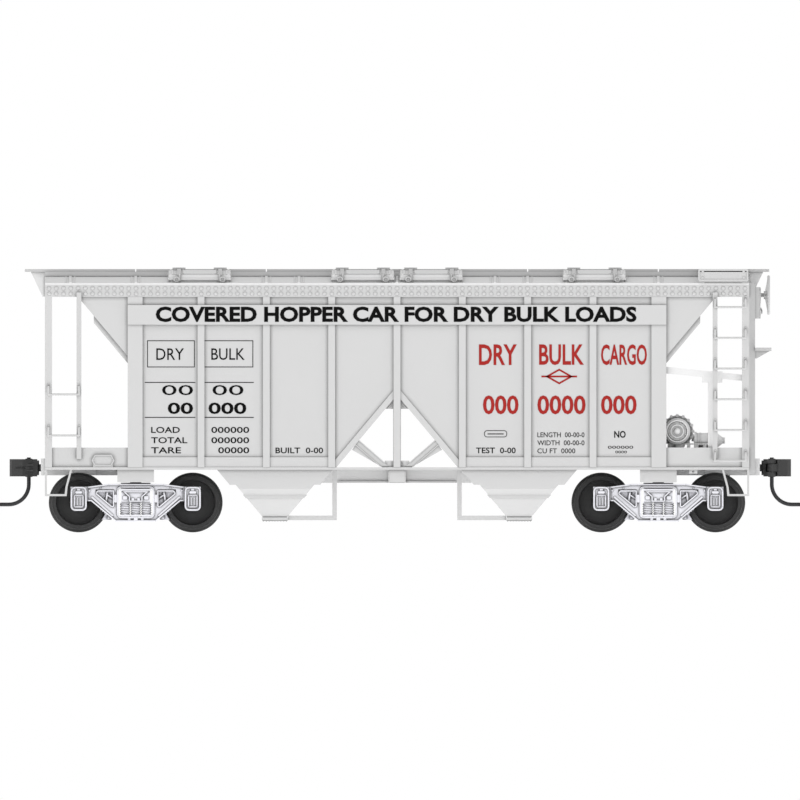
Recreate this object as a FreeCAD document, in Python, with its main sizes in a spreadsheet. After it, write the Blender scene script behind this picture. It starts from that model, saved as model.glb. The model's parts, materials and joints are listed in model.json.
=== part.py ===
"""HO scale (1:87) two-bay covered hopper car with open ends, as its separate pieces, in millimetres.

Frame: +Z up, the wheel flanges stand on z = 0. +X points to the B end, which carries the hand brake.
The left side of the car is at -Y. The origin lies midway between the two trucks.
"""
import FreeCAD, Part
import os
import re
import Sketcher

V = FreeCAD.Vector
doc = FreeCAD.newDocument("hopper_car")
sheet = doc.addObject("Spreadsheet::Sheet", "Sizes")

SIZES = {
    # overall
    "car_length": (122.9, "over the end sills and the roof"),
    "body_width": (33.0, "over the side sheets"),
    "eave_width": (33.8, "over the eaves"),
    "eave_height": (43.2, "top of the side walls above the flanges' foot"),
    "sill_low": (10.92, "underside of the side sills"),
    "truck_spacing": (91.2, "between the truck centres"),
    # sides
    "sheet_thick": (0.7, "side sheet"),
    "chord_depth": (2.12, "top chord of a side"),
    "chord_proud": (0.4, "chord beyond the side sheet"),
    "post_pitch": (11.4, "between side posts"),
    "post_wide": (1.2, "side post"),
    "post_proud": (0.45, "side post beyond the side sheet"),
    "end_post_wide": (2.6, "wide post at each end of the sheets"),
    "sheet_end": (47.0, "end of the side sheets from the middle"),
    "sill_leg": (2.2, "upright leg of the sill on the sheets"),
    "flange_thick": (0.45, "side sill flange"),
    "flange_proud": (0.35, "side sill flange beyond the sheet's face"),
    "edge_strip": (1.0, "strip along the sheet's edge in the middle bay"),
    "strip_proud": (0.25, "edge strip beyond the side sheet"),
    "board_low": (36.24, "underside of the letterboard"),
    "board_tall": (3.44, "letterboard"),
    "board_thick": (0.25, "letterboard"),
    "card_long": (3.5, "route card board"),
    "card_tall": (2.1, "route card board"),
    "card_at": (51.3, "middle of the route card board from the car's middle"),
    "staple_at": (51.7, "roping staple from the car's middle"),
    # hoppers
    "slope_angle": (50.0, "slope sheets to the floor, in degrees"),
    "outlet_spacing": (42.6, "between the two bays' outlets"),
    "outlet_long": (4.2, "outlet along the car"),
    "outlet_low": (2.63, "underside of the outlets"),
    "outlet_inner": (4.6, "outlet's inner edge from the middle line"),
    "outlet_outer": (12.0, "outlet's outer edge from the middle line"),
    "chute_break": (7.6, "height where the chute sides turn inward"),
    "bin_wall": (0.7, "hopper wall"),
    "stiffener_thick": (0.8, "stiffener under a slope sheet"),
    "stiffener_wide": (1.2, "stiffener across the car"),
    "stiffener_high": (37.8, "top end of the end stiffeners"),
    "stiffener_low": (8.3, "bottom end of the stiffeners"),
    "band_low": (5.97, "underside of the outlet frame's flange"),
    "band_tall": (0.62, "outlet frame's flange"),
    "band_proud": (0.2, "outlet frame's flange beyond the chute"),
    "gate_thick": (0.5, "outlet gate"),
    "brace_bar": (0.8, "hanger frame bar"),
    "brace_at": (10.5, "hanger upright from the car's middle"),
    # centre bay bracing
    "centre_post_wide": (1.35, "post in the middle of the side"),
    "strut_bar": (1.15, "diagonal strut"),
    "strut_foot": (1.05, "strut foot from the middle"),
    "strut_head": (7.2, "strut head from the middle"),
    "foot_plate_half": (2.15, "half length of the plate at the centre post's foot"),
    "foot_plate_tall": (1.15, "plate at the centre post's foot"),
    # underframe
    "centre_sill_wide": (5.2, "centre sill"),
    "centre_sill_low": (8.64, "underside of the centre sill's deep part"),
    "sill_deep_half": (24.0, "half length of the centre sill's deep part"),
    "sill_crown_from": (14.0, "inner end of the centre sill's raised top, from the middle"),
    "sill_play": (0.15, "between the centre sill and the hoppers' tunnel"),
    "bolster_long": (6.4, "body bolster along the car"),
    "bolster_low": (8.75, "underside of the body bolster"),
    "deck_from": (36.0, "inner edge of the end platform"),
    "deck_top": (14.55, "floor of the end platform"),
    "deck_thick": (0.6, "end platform"),
    "apron_top": (14.8, "top of the end platform's skirts"),
    "corner_leg": (1.25, "corner post angle, along the side"),
    "corner_wall": (0.4, "corner post angle"),
    # roof
    "roof_thick": (0.8, "roof plate"),
    "eave_edge": (0.3, "roof plate's upright edge at the eave"),
    "roof_rise": (1.36, "ridge above the eave's top edge"),
    "walk_over": (3.5, "running board beyond the end sill"),
    "walk_top": (45.95, "top of the running boards"),
    "walk_thick": (0.5, "running board"),
    "plank_wide": (1.8, "one plank of the running board"),
    "plank_gap": (0.2, "between planks"),
    "saddle_long": (0.7, "running board support along the car"),
    "saddle_pitch": (11.4, "between running board supports"),
    "gusset_thick": (0.4, "end bracket of the running board"),
    "gusset_drop": (4.3, "end bracket below the running board"),
    "lateral_in": (8.9, "inner edge of the cross walk inside the end sill"),
    "lateral_wide": (8.75, "cross walk along the car"),
    "lateral_skirt": (1.6, "upright plate under the cross walk's outer edge"),
    "hatch_long": (10.8, "hatch cover along the car"),
    "hatch_wide": (10.4, "hatch cover across the car"),
    "hatch_out": (9.9, "middle of a hatch from the ridge"),
    "hatch_near": (5.97, "middle of the inner hatches from the car's middle"),
    "hatch_away": (34.45, "middle of the outer hatches from the car's middle"),
    "hatch_lift": (0.4, "hatch cover's underside above the roof"),
    "hatch_thick": (0.85, "hatch cover"),
    "coaming_in": (0.3, "coaming inside the cover's edge"),
    "coaming_wall": (0.6, "wall of a hatch coaming"),
    "eye_off": (4.0, "eye nut from the hatch's middle"),
    "hinge_wide": (1.9, "hinge block of a hatch"),
    "hinge_deep": (0.5, "hinge block across the car"),
    "hinge_rise": (0.45, "hinge block above the strap's inner end"),
    "strap_off": (3.6, "hatch strap from the hatch's middle"),
    "strap_wide": (0.7, "hatch strap"),
    "strap_thick": (0.3, "hatch strap"),
    "eye_radius": (0.5, "eye nut at a strap's end"),
    # ladders, grabs and steps
    "stile_in": (5.95, "ladder stile inside the end sill"),
    "stile_wide": (0.85, "ladder stile"),
    "stile_thick": (0.4, "ladder stile"),
    "stile_low": (12.8, "foot of a ladder stile"),
    "wire": (0.36, "diameter of rungs, grabs and steps"),
    "rung_drop": (1.35, "rung below its feet"),
    "rung_out": (0.55, "rung in front of its stile"),
    "rung_low": (12.5, "lowest rung"),
    "rung_pitch": (5.36, "between rungs"),
    "grab_low": (16.9, "lower grab iron"),
    "grab_high": (24.07, "upper grab iron"),
    "step_drop": (4.6, "stirrup step below the sill"),
    "step_in": (0.25, "outer leg of a stirrup step inside the end sill"),
    "step_long": (3.45, "tread of a stirrup step"),
    "step_splay": (0.95, "splay of a step's inner leg"),
    # hand brake
    "mast_thick": (1.04, "brake mast beyond the end sill"),
    "mast_wide": (0.9, "each brake mast post"),
    "mast_gap": (3.0, "between the mast posts"),
    "mast_low": (10.0, "foot of the brake mast"),
    "mast_top": (43.5, "top of the brake mast"),
    "brake_y": (6.2, "brake wheel's axis from the middle line"),
    "brake_z": (41.4, "height of the brake wheel's axis"),
    "wheel_rim": (3.45, "brake wheel's radius"),
    "rim_wire": (0.5, "thickness of the brake wheel's rim"),
    "rim_out": (3.4, "brake wheel's rim beyond the end sill"),
    "hub_out": (2.75, "brake wheel's hub beyond the end sill"),
    "hub_radius": (0.7, "brake wheel's hub"),
    "shaft_radius": (0.35, "brake wheel's shaft"),
    "running_gap": (0.06, "radial clearance of a turning fit"),
    "case_thick": (0.8, "brake gear case along the car"),
    "case_wide": (4.4, "brake gear case"),
    "case_low": (37.3, "underside of the brake gear case"),
    "case_tall": (5.5, "brake gear case"),
    "step_high": (32.25, "top of the brake step"),
    "step_deep": (2.85, "brake step beyond the mast"),
    "step_wide": (8.0, "brake step across the car"),
    "step_plate": (0.6, "brake step's plate"),
    "step_knee": (1.3, "brake step's knee below the plate"),
    "rod_radius": (0.25, "brake rod"),
    # air brake
    "tank_at": (48.9, "air reservoir's middle along the car"),
    "tank_radius": (2.3, "air reservoir"),
    "tank_flange": (2.75, "air reservoir's bolted flange"),
    "tank_half": (7.5, "half length of the air reservoir"),
    "tank_clear": (2.2, "end of the air reservoir inside the side sheet's face"),
    "bolt_count": (16.0, "bolts round the reservoir's flange"),
    "bolt_radius": (0.3, "bolt of the reservoir's flange"),
    "cylinder_from": (51.9, "pressure head of the brake cylinder"),
    "cylinder_long": (3.7, "barrel of the brake cylinder"),
    "cylinder_radius": (1.3, "brake cylinder"),
    "cylinder_flange": (1.5, "brake cylinder's flanges"),
    "cylinder_y": (10.5, "brake cylinder from the middle line"),
    "valve_at": (52.6, "control valve along the car"),
    "valve_long": (2.4, "control valve along the car"),
    "stand_at": (55.0, "lever stand along the car"),
    "stand_wide": (1.5, "lever stand's post"),
    "stand_top": (27.0, "top of the lever stand's post"),
    "stand_thick": (1.0, "lever stand across the car"),
    "stand_head": (3.6, "lever stand's head along the car"),
    "head_deep": (2.0, "height of the lever stand's head"),
    "rail_tall": (1.1, "sloping rail of the lever stand"),
    "rail_thick": (0.6, "sloping rail of the lever stand"),
    "rail_fall": (1.5, "fall of the rail towards the end"),
    "rail_low": (26.35, "foot of the rail at the end"),
    # ballast
    "ballast_thick": (3.8, "steel ballast plate"),
    "ballast_wide": (24.0, "steel ballast plate across the car"),
    "ballast_low": (15.5, "lower edge of the ballast plates"),
    "ballast_high": (36.0, "upper edge of the end ballast plates"),
    "ballast_mid_high": (22.5, "upper edge of the inner ballast plates"),
    # trucks
    "wheelbase": (19.9, "between the axles of a truck"),
    "tread_radius": (4.75, "wheel tread"),
    "flange_tall": (0.47, "wheel flange beyond the tread"),
    "flange_wide": (0.75, "wheel flange along the axle"),
    "wheel_wide": (2.8, "wheel along the axle"),
    "back_to_back": (14.5, "between the wheels' backs"),
    "rim_thick": (0.75, "wheel rim, radially"),
    "web_thick": (1.1, "wheel web"),
    "hub_boss": (1.35, "wheel hub's radius"),
    "axle_radius": (0.8, "axle between the wheels"),
    "journal_radius": (0.5, "axle end in its bearing"),
    "axle_half": (12.9, "half length of an axle"),
    "journal_gap": (0.08, "radial clearance of a journal"),
    "frame_inner": (12.2, "side frame's inner face from the middle line"),
    "frame_thick": (1.3, "side frame"),
    "box_half": (1.4, "half width of a journal box"),
    "box_top": (7.95, "top of a journal box"),
    "box_low": (3.77, "foot of a journal box"),
    "box_out": (0.75, "journal box beyond the side frame"),
    "frame_top": (8.45, "top of a side frame's middle"),
    "frame_low": (1.88, "foot of a side frame"),
    "frame_ear": (5.45, "underside of a side frame beside its journal box"),
    "ear_long": (0.75, "side frame's level part beside its journal box"),
    "frame_belly": (2.1, "upright thickness of a side frame's sloping bars"),
    "frame_foot": (3.5, "half length of a side frame's foot"),
    "frame_arch": (4.8, "half length of a side frame's flat top"),
    "frame_bar": (0.95, "thickness of a side frame's bars"),
    "window_half": (3.0, "half width of the bolster window"),
    "column_wide": (0.8, "column beside the bolster window"),
    "truck_bolster_half": (2.5, "half width of a truck bolster"),
    "truck_bolster_low": (5.2, "underside of a truck bolster"),
    "truck_bolster_top": (7.55, "top of a truck bolster"),
    "plate_radius": (2.6, "centre plate"),
    "spring_radius": (0.75, "truck spring"),
    "spring_pitch": (1.85, "between truck springs"),
    "kingpin_radius": (1.0, "truck screw"),
    "kingpin_head": (1.85, "truck screw's head radius"),
    "head_tall": (0.8, "truck screw's head"),
    "kingpin_recess": (1.2, "depth of the recess for the screw's head"),
    "kingpin_top": (10.6, "tip of the truck screw"),
    "plate_gap": (0.08, "between the centre plates"),
    "shoe_gap": (0.3, "brake shoe to wheel tread"),
    "shoe_wide": (1.6, "brake shoe along the axle"),
    "shoe_top": (4.6, "top of a brake shoe"),
    "beam_thick": (0.7, "brake beam along the car"),
    "beam_low": (2.35, "underside of a brake beam"),
    "beam_tall": (0.7, "brake beam"),
    # couplers
    "coupler_high": (11.27, "height of the coupler's axis"),
    "draft_low": (9.96, "underside of the coupler box"),
    "draft_tall": (2.94, "coupler box with its lid"),
    "draft_half": (3.5, "half width of the coupler box"),
    "draft_wall": (0.6, "coupler box wall"),
    "draft_play": (0.1, "above and below the coupler's shank"),
    "draft_out": (0.7, "mouth of the A end coupler box beyond the end sill"),
    "draft_long": (9.6, "coupler box"),
    "b_end_step": (1.15, "how much further out the B end's coupler stands"),
    "pivot_back": (6.3, "coupler pivot behind the mouth"),
    "pivot_radius": (0.9, "pivot post"),
    "eye_wall": (0.8, "coupler shank's ring round the pivot"),
    "shank_tall": (1.25, "coupler shank"),
    "shank_wide": (1.7, "coupler shank"),
    "neck_out": (0.3, "coupler collar in front of the mouth"),
    "collar_long": (0.65, "coupler collar"),
    "collar_half": (1.5, "half width of the collar"),
    "collar_tall": (2.55, "collar's height"),
    "head_long": (5.15, "coupler from the collar to the pulling face"),
    "coupler_tall": (3.02, "coupler head"),
    "knuckle_pin_out": (1.8, "knuckle pin from the collar"),
    "knuckle_pin_side": (1.25, "knuckle pin beside the coupler's axis"),
    "pin_radius": (0.34, "knuckle pin and trip pin"),
    "lug_radius": (0.95, "knuckle lug and the head's ears"),
    "lug_tall": (1.3, "knuckle lug"),
    "face_gap": (0.1, "between moving faces"),
    "jaw_half": (2.45, "half width of the coupler head"),
    "trip_bend": (3.5, "trip pin's bend radius"),
    "trip_drop": (6.4, "trip pin's foot below the coupler's axis"),
    "trip_reach": (5.6, "trip pin's tip beyond the knuckle pin"),
    "screw_radius": (0.55, "coupler box screw"),
    "screw_head": (1.1, "coupler box screw's head radius"),
    "screw_head_tall": (0.5, "coupler box screw's head"),
}
for row, (alias, (number, meaning)) in enumerate(SIZES.items(), start=1):
    sheet.set(f"A{row}", meaning)
    sheet.set(f"B{row}", str(number))
    sheet.setAlias(f"B{row}", alias)
doc.recompute()

PLACES = {
    "walk_half": ("=car_length / 2 + walk_over", "end of the running board from the car's middle"),
    "rim_at": ("=car_length / 2 + rim_out", "brake wheel's rim from the car's middle"),
    "hub_at": ("=car_length / 2 + hub_out", "brake wheel's hub from the car's middle"),
    "draft_front": (
        "=car_length / 2 + draft_out", "mouth of the A end coupler box from the car's middle"
    ),
    "stile_at": ("=car_length / 2 - stile_in", "ladder stile from the car's middle"),
    "step_from": ("=car_length / 2 - step_in", "outer leg of a stirrup step from the car's middle"),
    "lateral_from": (
        "=car_length / 2 - lateral_in", "inner edge of the cross walk from the car's middle"
    ),
    "flange_radius": ("=tread_radius + flange_tall", "wheel flange's radius"),
    "beam_at": (
        "=wheelbase / 2 - tread_radius - shoe_gap - beam_thick",
        "brake beam's inner face from the truck's middle"
    ),
}
for row, (alias, (formula, meaning)) in enumerate(PLACES.items(), start=len(SIZES) + 2):
    sheet.set(f"A{row}", meaning)
    sheet.set(f"B{row}", formula)
    sheet.setAlias(f"B{row}", alias)
doc.recompute()


def bound(text):
    """The expression with each size's name read from the sheet."""
    return re.sub(
        r"[a-z][a-z_]*", lambda m: f"Sizes.{m[0]}" if m[0] in {**SIZES, **PLACES} else m[0], text
    )


def number(text):
    return float(sheet.evalExpression(bound(text)))


# ---- ways of making a piece ----------------------------------------------------------------------

SIDE_OF = {"x": "Length", "y": "Width", "z": "Height"}


def box(name, **spans):
    """A box from a low to a high end along each of x, y and z."""
    made = doc.addObject("Part::Box", name)
    for letter, (low, high) in spans.items():
        made.setExpression(SIDE_OF[letter], bound(f"({high}) - ({low})"))
        made.setExpression(f"Placement.Base.{letter}", bound(low))
    return made


ALONG = {
    "x": FreeCAD.Rotation(V(0, 1, 0), 90),
    "y": FreeCAD.Rotation(V(1, 0, 0), -90),
    "z": FreeCAD.Rotation(),
}


def rod(name, axis, radius, low, high, **at):
    """A cylinder along an axis, from low to high on it, at the two other coordinates."""
    made = doc.addObject("Part::Cylinder", name)
    made.Placement = FreeCAD.Placement(V(), ALONG[axis])
    made.setExpression("Radius", bound(radius))
    made.setExpression("Height", bound(f"({high}) - ({low})"))
    for letter, where in {**at, axis: low}.items():
        made.setExpression(f"Placement.Base.{letter}", bound(where))
    return made


def sketch_in(body, name, plane, offset):
    made = body.newObject("Sketcher::SketchObject", name)
    origin_plane = next(f for f in body.Origin.OriginFeatures if f.Role == f"{plane}_Plane")
    made.AttachmentSupport = [(origin_plane, "")]
    made.MapMode = "FlatFace"
    made.setExpression("AttachmentOffset.Base.z", bound(offset))
    return made


def lines(sketch, outline, closed=True):
    """Straight lines through the points of an outline, each coordinate held by a size."""
    points = [V(number(a), number(b)) for a, b in outline]
    ends = list(zip(points, points[1:] + points[:1]))
    if not closed:
        ends.pop()
    sketch.addGeometry([Part.LineSegment(a, b) for a, b in ends])
    count = len(ends)
    for i in range(count if closed else count - 1):
        sketch.addConstraint(Sketcher.Constraint("Coincident", i, 2, (i + 1) % count, 1))
    for i, (texts, point) in enumerate(zip(outline, points)):
        line, end = (i, 1) if i < count else (i - 1, 2)
        for kind, text, value in zip(("DistanceX", "DistanceY"), texts, point):
            held = sketch.addConstraint(Sketcher.Constraint(kind, -1, 1, line, end, value))
            sketch.setExpression(f"Constraints[{held}]", bound(text))


def pad(body, name, plane, outline, low, high):
    """A padded outline added to a body, from low to high along the plane's normal."""
    sketch = sketch_in(body, f"{name}_sketch", plane, f"-({high})" if plane == "XZ" else low)
    lines(sketch, outline)
    made = body.newObject("PartDesign::Pad", f"{name}_pad")
    made.Profile = sketch
    made.setExpression("Length", bound(f"({high}) - ({low})"))
    sketch.Visibility = False
    return made


def prism(name, plane, outline, low, high):
    body = doc.addObject("PartDesign::Body", name)
    pad(body, name, plane, outline, low, high)
    return body


def pocket(body, name, plane, outline, low, high):
    """An outline cut from a body, from low to high along the plane's normal."""
    sketch = sketch_in(body, f"{name}_sketch", plane, f"-({high})" if plane == "XZ" else low)
    lines(sketch, outline)
    made = body.newObject("PartDesign::Pocket", f"{name}_pocket")
    made.Profile = sketch
    made.Reversed = True
    made.setExpression("Length", bound(f"({high}) - ({low})"))
    return made


def turned(name, plane, axis, outline):
    """An outline turned a full circle about its sketch's H or V axis."""
    body = doc.addObject("PartDesign::Body", name)
    sketch = sketch_in(body, f"{name}_sketch", plane, "0")
    lines(sketch, outline)
    made = body.newObject("PartDesign::Revolution", f"{name}_turn")
    made.Profile = sketch
    made.ReferenceAxis = (sketch, [f"{axis}_Axis"])
    made.Angle = 360
    return body


def fused(name, *pieces):
    made = doc.addObject("Part::MultiFuse", name)
    made.Shapes = list(pieces)
    made.Refine = True
    return made


def cut(name, base, *tools):
    made = doc.addObject("Part::Cut", name)
    made.Base = base
    made.Tool = tools[0] if len(tools) == 1 else fused(f"{name}_tools", *tools)
    return made


def common(name, first, second):
    made = doc.addObject("Part::Common", name)
    made.Base = first
    made.Tool = second
    return made


def group(name, *pieces):
    """Separate solids that share one node."""
    made = doc.addObject("Part::Compound", name)
    made.Links = list(pieces)
    return made


def copy_of(name, piece, turn=0.0, **at):
    """The same piece again, turned about the vertical and moved."""
    made = doc.addObject("App::Link", name)
    made.LinkedObject = piece
    made.LinkTransform = True
    made.Placement = FreeCAD.Placement(V(), FreeCAD.Rotation(V(0, 0, 1), turn))
    for letter, where in at.items():
        made.setExpression(f"Placement.Base.{letter}", bound(where))
    return made


def opposite(name, piece):
    """The same piece at the diagonally opposite place of the car."""
    return copy_of(name, piece, 180.0)


def mirror(name, piece, normal):
    made = doc.addObject("Part::Mirroring", name)
    made.Source = piece
    made.Normal = normal
    return made


NODES = []


def node(piece, label=None):
    """Marks a finished sub-part; its label names its file."""
    piece.Label = label or piece.Name
    NODES.append(piece)
    return piece


def rectangle(a_low, a_high, b_low, b_high):
    return [(a_low, b_low), (a_high, b_low), (a_high, b_high), (a_low, b_high)]


# ---- shared places -------------------------------------------------------------------------------

HALF = "car_length / 2"
FACE = "body_width / 2"
SILL_TOP = "sill_low + flange_thick"
CHORD_LOW = "eave_height - chord_depth"
STRIP_RISE = "edge_strip / cos(slope_angle)"
WALL_RUN = "bin_wall / sin(slope_angle)"


def outer_x(height, shift="0"):
    """Where an end slope sheet's outer face is at a height; shift moves it outward."""
    return f"(outlet_spacing / 2 + outlet_long / 2 + ({height} - outlet_low) / tan(slope_angle) + ({shift}))"


def inner_x(height, shift="0"):
    """Where an inner slope sheet's outer face is at a height; shift moves it towards the car's middle."""
    return f"(outlet_spacing / 2 - outlet_long / 2 - ({height} - outlet_low) / tan(slope_angle) - ({shift}))"


def outer_z(x):
    return f"(outlet_low + ({x} - outlet_spacing / 2 - outlet_long / 2) * tan(slope_angle))"


NOTCH_RIB = "(sill_low + 8.5)"
RIDGE = "(outlet_low + (outlet_spacing / 2 - outlet_long / 2) * tan(slope_angle))"
NOTCH_TOP = f"({RIDGE} - {STRIP_RISE})"
NOTCH_FOOT = inner_x(f"({SILL_TOP} + {STRIP_RISE})")


# ---- sides ---------------------------------------------------------------------------------------

def make_side():
    """One side wall: sheet, top chord, posts, sill leg and the strips along the middle bay."""
    right = [
        (HALF, CHORD_LOW),
        (outer_x(CHORD_LOW), CHORD_LOW),
        ("sheet_end", outer_z("sheet_end")),
        ("sheet_end", SILL_TOP),
        (NOTCH_FOOT, SILL_TOP),
    ]
    left = [(f"-({x})", z) for x, z in reversed(right)]
    outline = [(f"-({HALF})", "eave_height"), (HALF, "eave_height"), *right, ("0", NOTCH_TOP), *left]
    body = prism("left_side", "XZ", outline, f"-({FACE})", f"-({FACE}) + sheet_thick")
    front = f"-({FACE})"
    chord = rectangle(f"-({HALF})", HALF, CHORD_LOW, "eave_height")
    pad(body, "chord", "XZ", chord, f"{front} - chord_proud", front)
    for end in ("-", ""):
        wide = rectangle(*sorted_span(end, "sheet_end - end_post_wide", "sheet_end"), SILL_TOP, CHORD_LOW)
        pad(body, "end_post", "XZ", wide, f"{front} - post_proud", front)
        for step in (1, 2, 3):
            middle = f"{end}{step} * post_pitch"
            post = rectangle(
                f"{middle} - post_wide / 2", f"{middle} + post_wide / 2", SILL_TOP, CHORD_LOW
            )
            pad(body, "post", "XZ", post, f"{front} - post_proud", front)
        leg = rectangle(
            *sorted_span(end, "post_pitch", "sheet_end"), SILL_TOP, f"{SILL_TOP} + sill_leg - flange_thick"
        )
        pad(body, "sill_leg", "XZ", leg, f"{front} - strip_proud", front)
        beside_post = "(post_wide / 2)"
        strip = [
            (f"{end}{beside_post}", f"{NOTCH_TOP} - {beside_post} * tan(slope_angle)"),
            (f"{end}{NOTCH_FOOT}", SILL_TOP),
            (f"{end}{inner_x(SILL_TOP)}", SILL_TOP),
            (f"{end}{beside_post}", f"{RIDGE} - {beside_post} * tan(slope_angle)"),
        ]
        pad(body, "strip", "XZ", strip, f"{front} - strip_proud", front)
    return body


def sorted_span(sign, near, far):
    """The low and high ends of a span on the negative or the positive side."""
    return (f"-({far})", f"-({near})") if sign == "-" else (near, far)


left_side = node(make_side())
node(mirror("right_side", left_side, V(0, 1, 0)))

side_sill_profile = rectangle(
    f"-({FACE}) - flange_proud", f"-({FACE}) + sheet_thick", "sill_low", SILL_TOP
)
left_sill = prism("left_sill", "YZ", side_sill_profile, f"-({HALF})", HALF)
node(group("side_sills", left_sill, mirror("right_sill", left_sill, V(0, 1, 0))))

board_front = f"-({FACE}) - post_proud - board_thick"
left_board = box(
    "left_board",
    x=("-sheet_end", "sheet_end"),
    y=(board_front, f"{board_front} + board_thick"),
    z=("board_low", "board_low + board_tall"),
)
node(group("letterboards", left_board, mirror("right_board", left_board, V(0, 1, 0))))


def make_bracing():
    """The post in the middle of a side and the two struts that lean on its foot."""
    front = f"-({FACE}) - post_proud"
    back = f"-({FACE}) + sheet_thick"
    post = box(
        "centre_post",
        x=("-centre_post_wide / 2", "centre_post_wide / 2"),
        y=(f"-({FACE})", back),
        z=(SILL_TOP, f"{NOTCH_TOP} - 0.5 * centre_post_wide * tan(slope_angle)"),
    )
    head_z = f"({NOTCH_TOP} - strut_head * tan(slope_angle))"
    strut = prism(
        "strut",
        "XZ",
        [
            ("strut_foot", SILL_TOP),
            ("strut_foot + strut_bar * 1.3", SILL_TOP),
            ("strut_head + strut_bar * 0.57", f"{head_z} - strut_bar * 0.85"),
            ("strut_head", head_z),
        ],
        f"-({FACE})",
        back,
    )
    cap = box(
        "centre_cap",
        x=("-post_wide / 2", "post_wide / 2"),
        y=(front, f"-({FACE})"),
        z=(SILL_TOP, CHORD_LOW),
    )
    plate = box(
        "foot_plate",
        x=("-foot_plate_half", "foot_plate_half"),
        y=(f"-({FACE})", back),
        z=(SILL_TOP, f"{SILL_TOP} + foot_plate_tall"),
    )
    return fused("bracing_left", post, plate, strut, mirror("strut_back", strut, V(1, 0, 0)), cap)


left_bracing = make_bracing()
node(group("centre_bay_bracing", left_bracing, mirror("bracing_right", left_bracing, V(0, 1, 0))))

# ---- hoppers -------------------------------------------------------------------------------------

SILL_ROOF = "(deck_top - deck_thick)"
TUNNEL = "(centre_sill_wide / 2 + sill_play)"
TUNNEL_TOP = f"({SILL_ROOF} + sill_play)"
BIN_HALF = f"({FACE} - sheet_thick)"
BIN_TOP = "eave_height - 0.9"


def hopper_block(name, wall_run, wall, top):
    """The solid that fills one bay between its slope sheets and its chute sides, moved in by a wall."""
    along = [
        (f"-{outer_x(top, f'-({wall_run})')}", top),
        ("0", top),
        ("0", f"{RIDGE} + ({wall_run}) * tan(slope_angle)"),
        (f"-{inner_x('outlet_low', f'-({wall_run})')}", "outlet_low"),
        (f"-{outer_x('outlet_low', f'-({wall_run})')}", "outlet_low"),
    ]
    half = [
        (BIN_HALF + f" - ({wall})", top),
        (BIN_HALF + f" - ({wall})", f"chute_break + ({wall}) * 0.5"),
        (f"outlet_outer - ({wall})", "outlet_low"),
        (f"outlet_inner + ({wall})", "outlet_low"),
        (f"{TUNNEL} + ({wall})", f"chute_break - 1 + ({wall}) * 0.5"),
        (f"{TUNNEL} + ({wall})", f"{TUNNEL_TOP} + ({wall})"),
    ]
    across = half + [(f"-({y})", z) for y, z in reversed(half)]
    lengthwise = prism(f"{name}_along", "XZ", along, f"-{BIN_HALF} - 1", f"{BIN_HALF} + 1")
    crosswise = prism(f"{name}_across", "YZ", across, f"-{outer_x(top)} - 1", "0.0")
    return common(name, lengthwise, crosswise)


def stiffener(name, low, high, on_x, y_low, y_high):
    """A bar under a slope sheet between two heights; on_x gives the sheet's face at a height."""
    run = "(stiffener_thick / sin(slope_angle))"
    drop = f"{run} * tan(slope_angle)"
    outline = [
        (f"-{on_x(low)}", low),
        (f"-{on_x(low, run)}", low),
        (f"-{on_x(high)}", f"{high} - {drop}"),
        (f"-{on_x(high)}", high),
    ]
    return prism(name, "XZ", outline, y_low, y_high)


def make_band(hand):
    """Flange round one chute, where its outlet casting is bolted up."""
    top = "(band_low + band_tall)"
    middle = "(band_low + band_tall / 2)"
    chute_out = (
        f"({BIN_HALF} - (chute_break - {middle}) * ({BIN_HALF} - outlet_outer)"
        " / (chute_break - outlet_low))"
    )
    along = [
        (f"-{outer_x('band_low', 'band_proud')}", "band_low"),
        (f"-{outer_x(top, 'band_proud')}", top),
        (f"-{inner_x(top, 'band_proud')}", top),
        (f"-{inner_x('band_low', 'band_proud')}", "band_low"),
    ]
    span = (TUNNEL, f"{chute_out} + band_proud")
    if hand == "left":
        span = (f"-({span[1]})", f"-({span[0]})")
    return prism(f"band_{hand}", "XZ", along, *span)


def make_hopper():
    """One hopper bay as moulded: two slope sheets, chute sides, stiffeners and the chutes' flanges."""
    outer = hopper_block("bay_outside", "0", "0", BIN_TOP)
    outer = fused("bay_with_bands", outer, make_band("left"), make_band("right"))
    inside = hopper_block("bay_inside", WALL_RUN, "bin_wall", f"{BIN_TOP} + 1")
    pieces = [cut("bay_shell", outer, inside)]
    for i, y_low in enumerate((f"-{BIN_HALF}", f"{BIN_HALF} - stiffener_wide")):
        y_high = f"{y_low} + stiffener_wide"
        pieces.append(
            stiffener(f"end_rib_{i}", "stiffener_low", "stiffener_high", outer_x, y_low, y_high)
        )
        pieces.append(stiffener(f"inner_rib_{i}", "stiffener_low", NOTCH_RIB, inner_x, y_low, y_high))
    return fused("hopper_a", *pieces)


hopper_a = node(make_hopper())
node(opposite("hopper_b", hopper_a))


def make_outlets():
    """Gate under each chute with its slide frame."""
    made = []
    for end, centre in (("a", "-outlet_spacing / 2"), ("b", "outlet_spacing / 2")):
        for hand, (low, high) in (
            ("left", ("-outlet_outer", "-outlet_inner")), ("right", ("outlet_inner", "outlet_outer"))
        ):
            made.append(
                box(
                    f"gate_{end}_{hand}",
                    x=(
                        f"{centre} - outlet_long / 2 - band_proud",
                        f"{centre} + outlet_long / 2 + band_proud"
                    ),
                    y=(f"{low} - band_proud", f"{high} + band_proud"),
                    z=("outlet_low - gate_thick", "outlet_low"),
                )
            )
    return group("outlet_gates", *made)


node(make_outlets())


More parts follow.
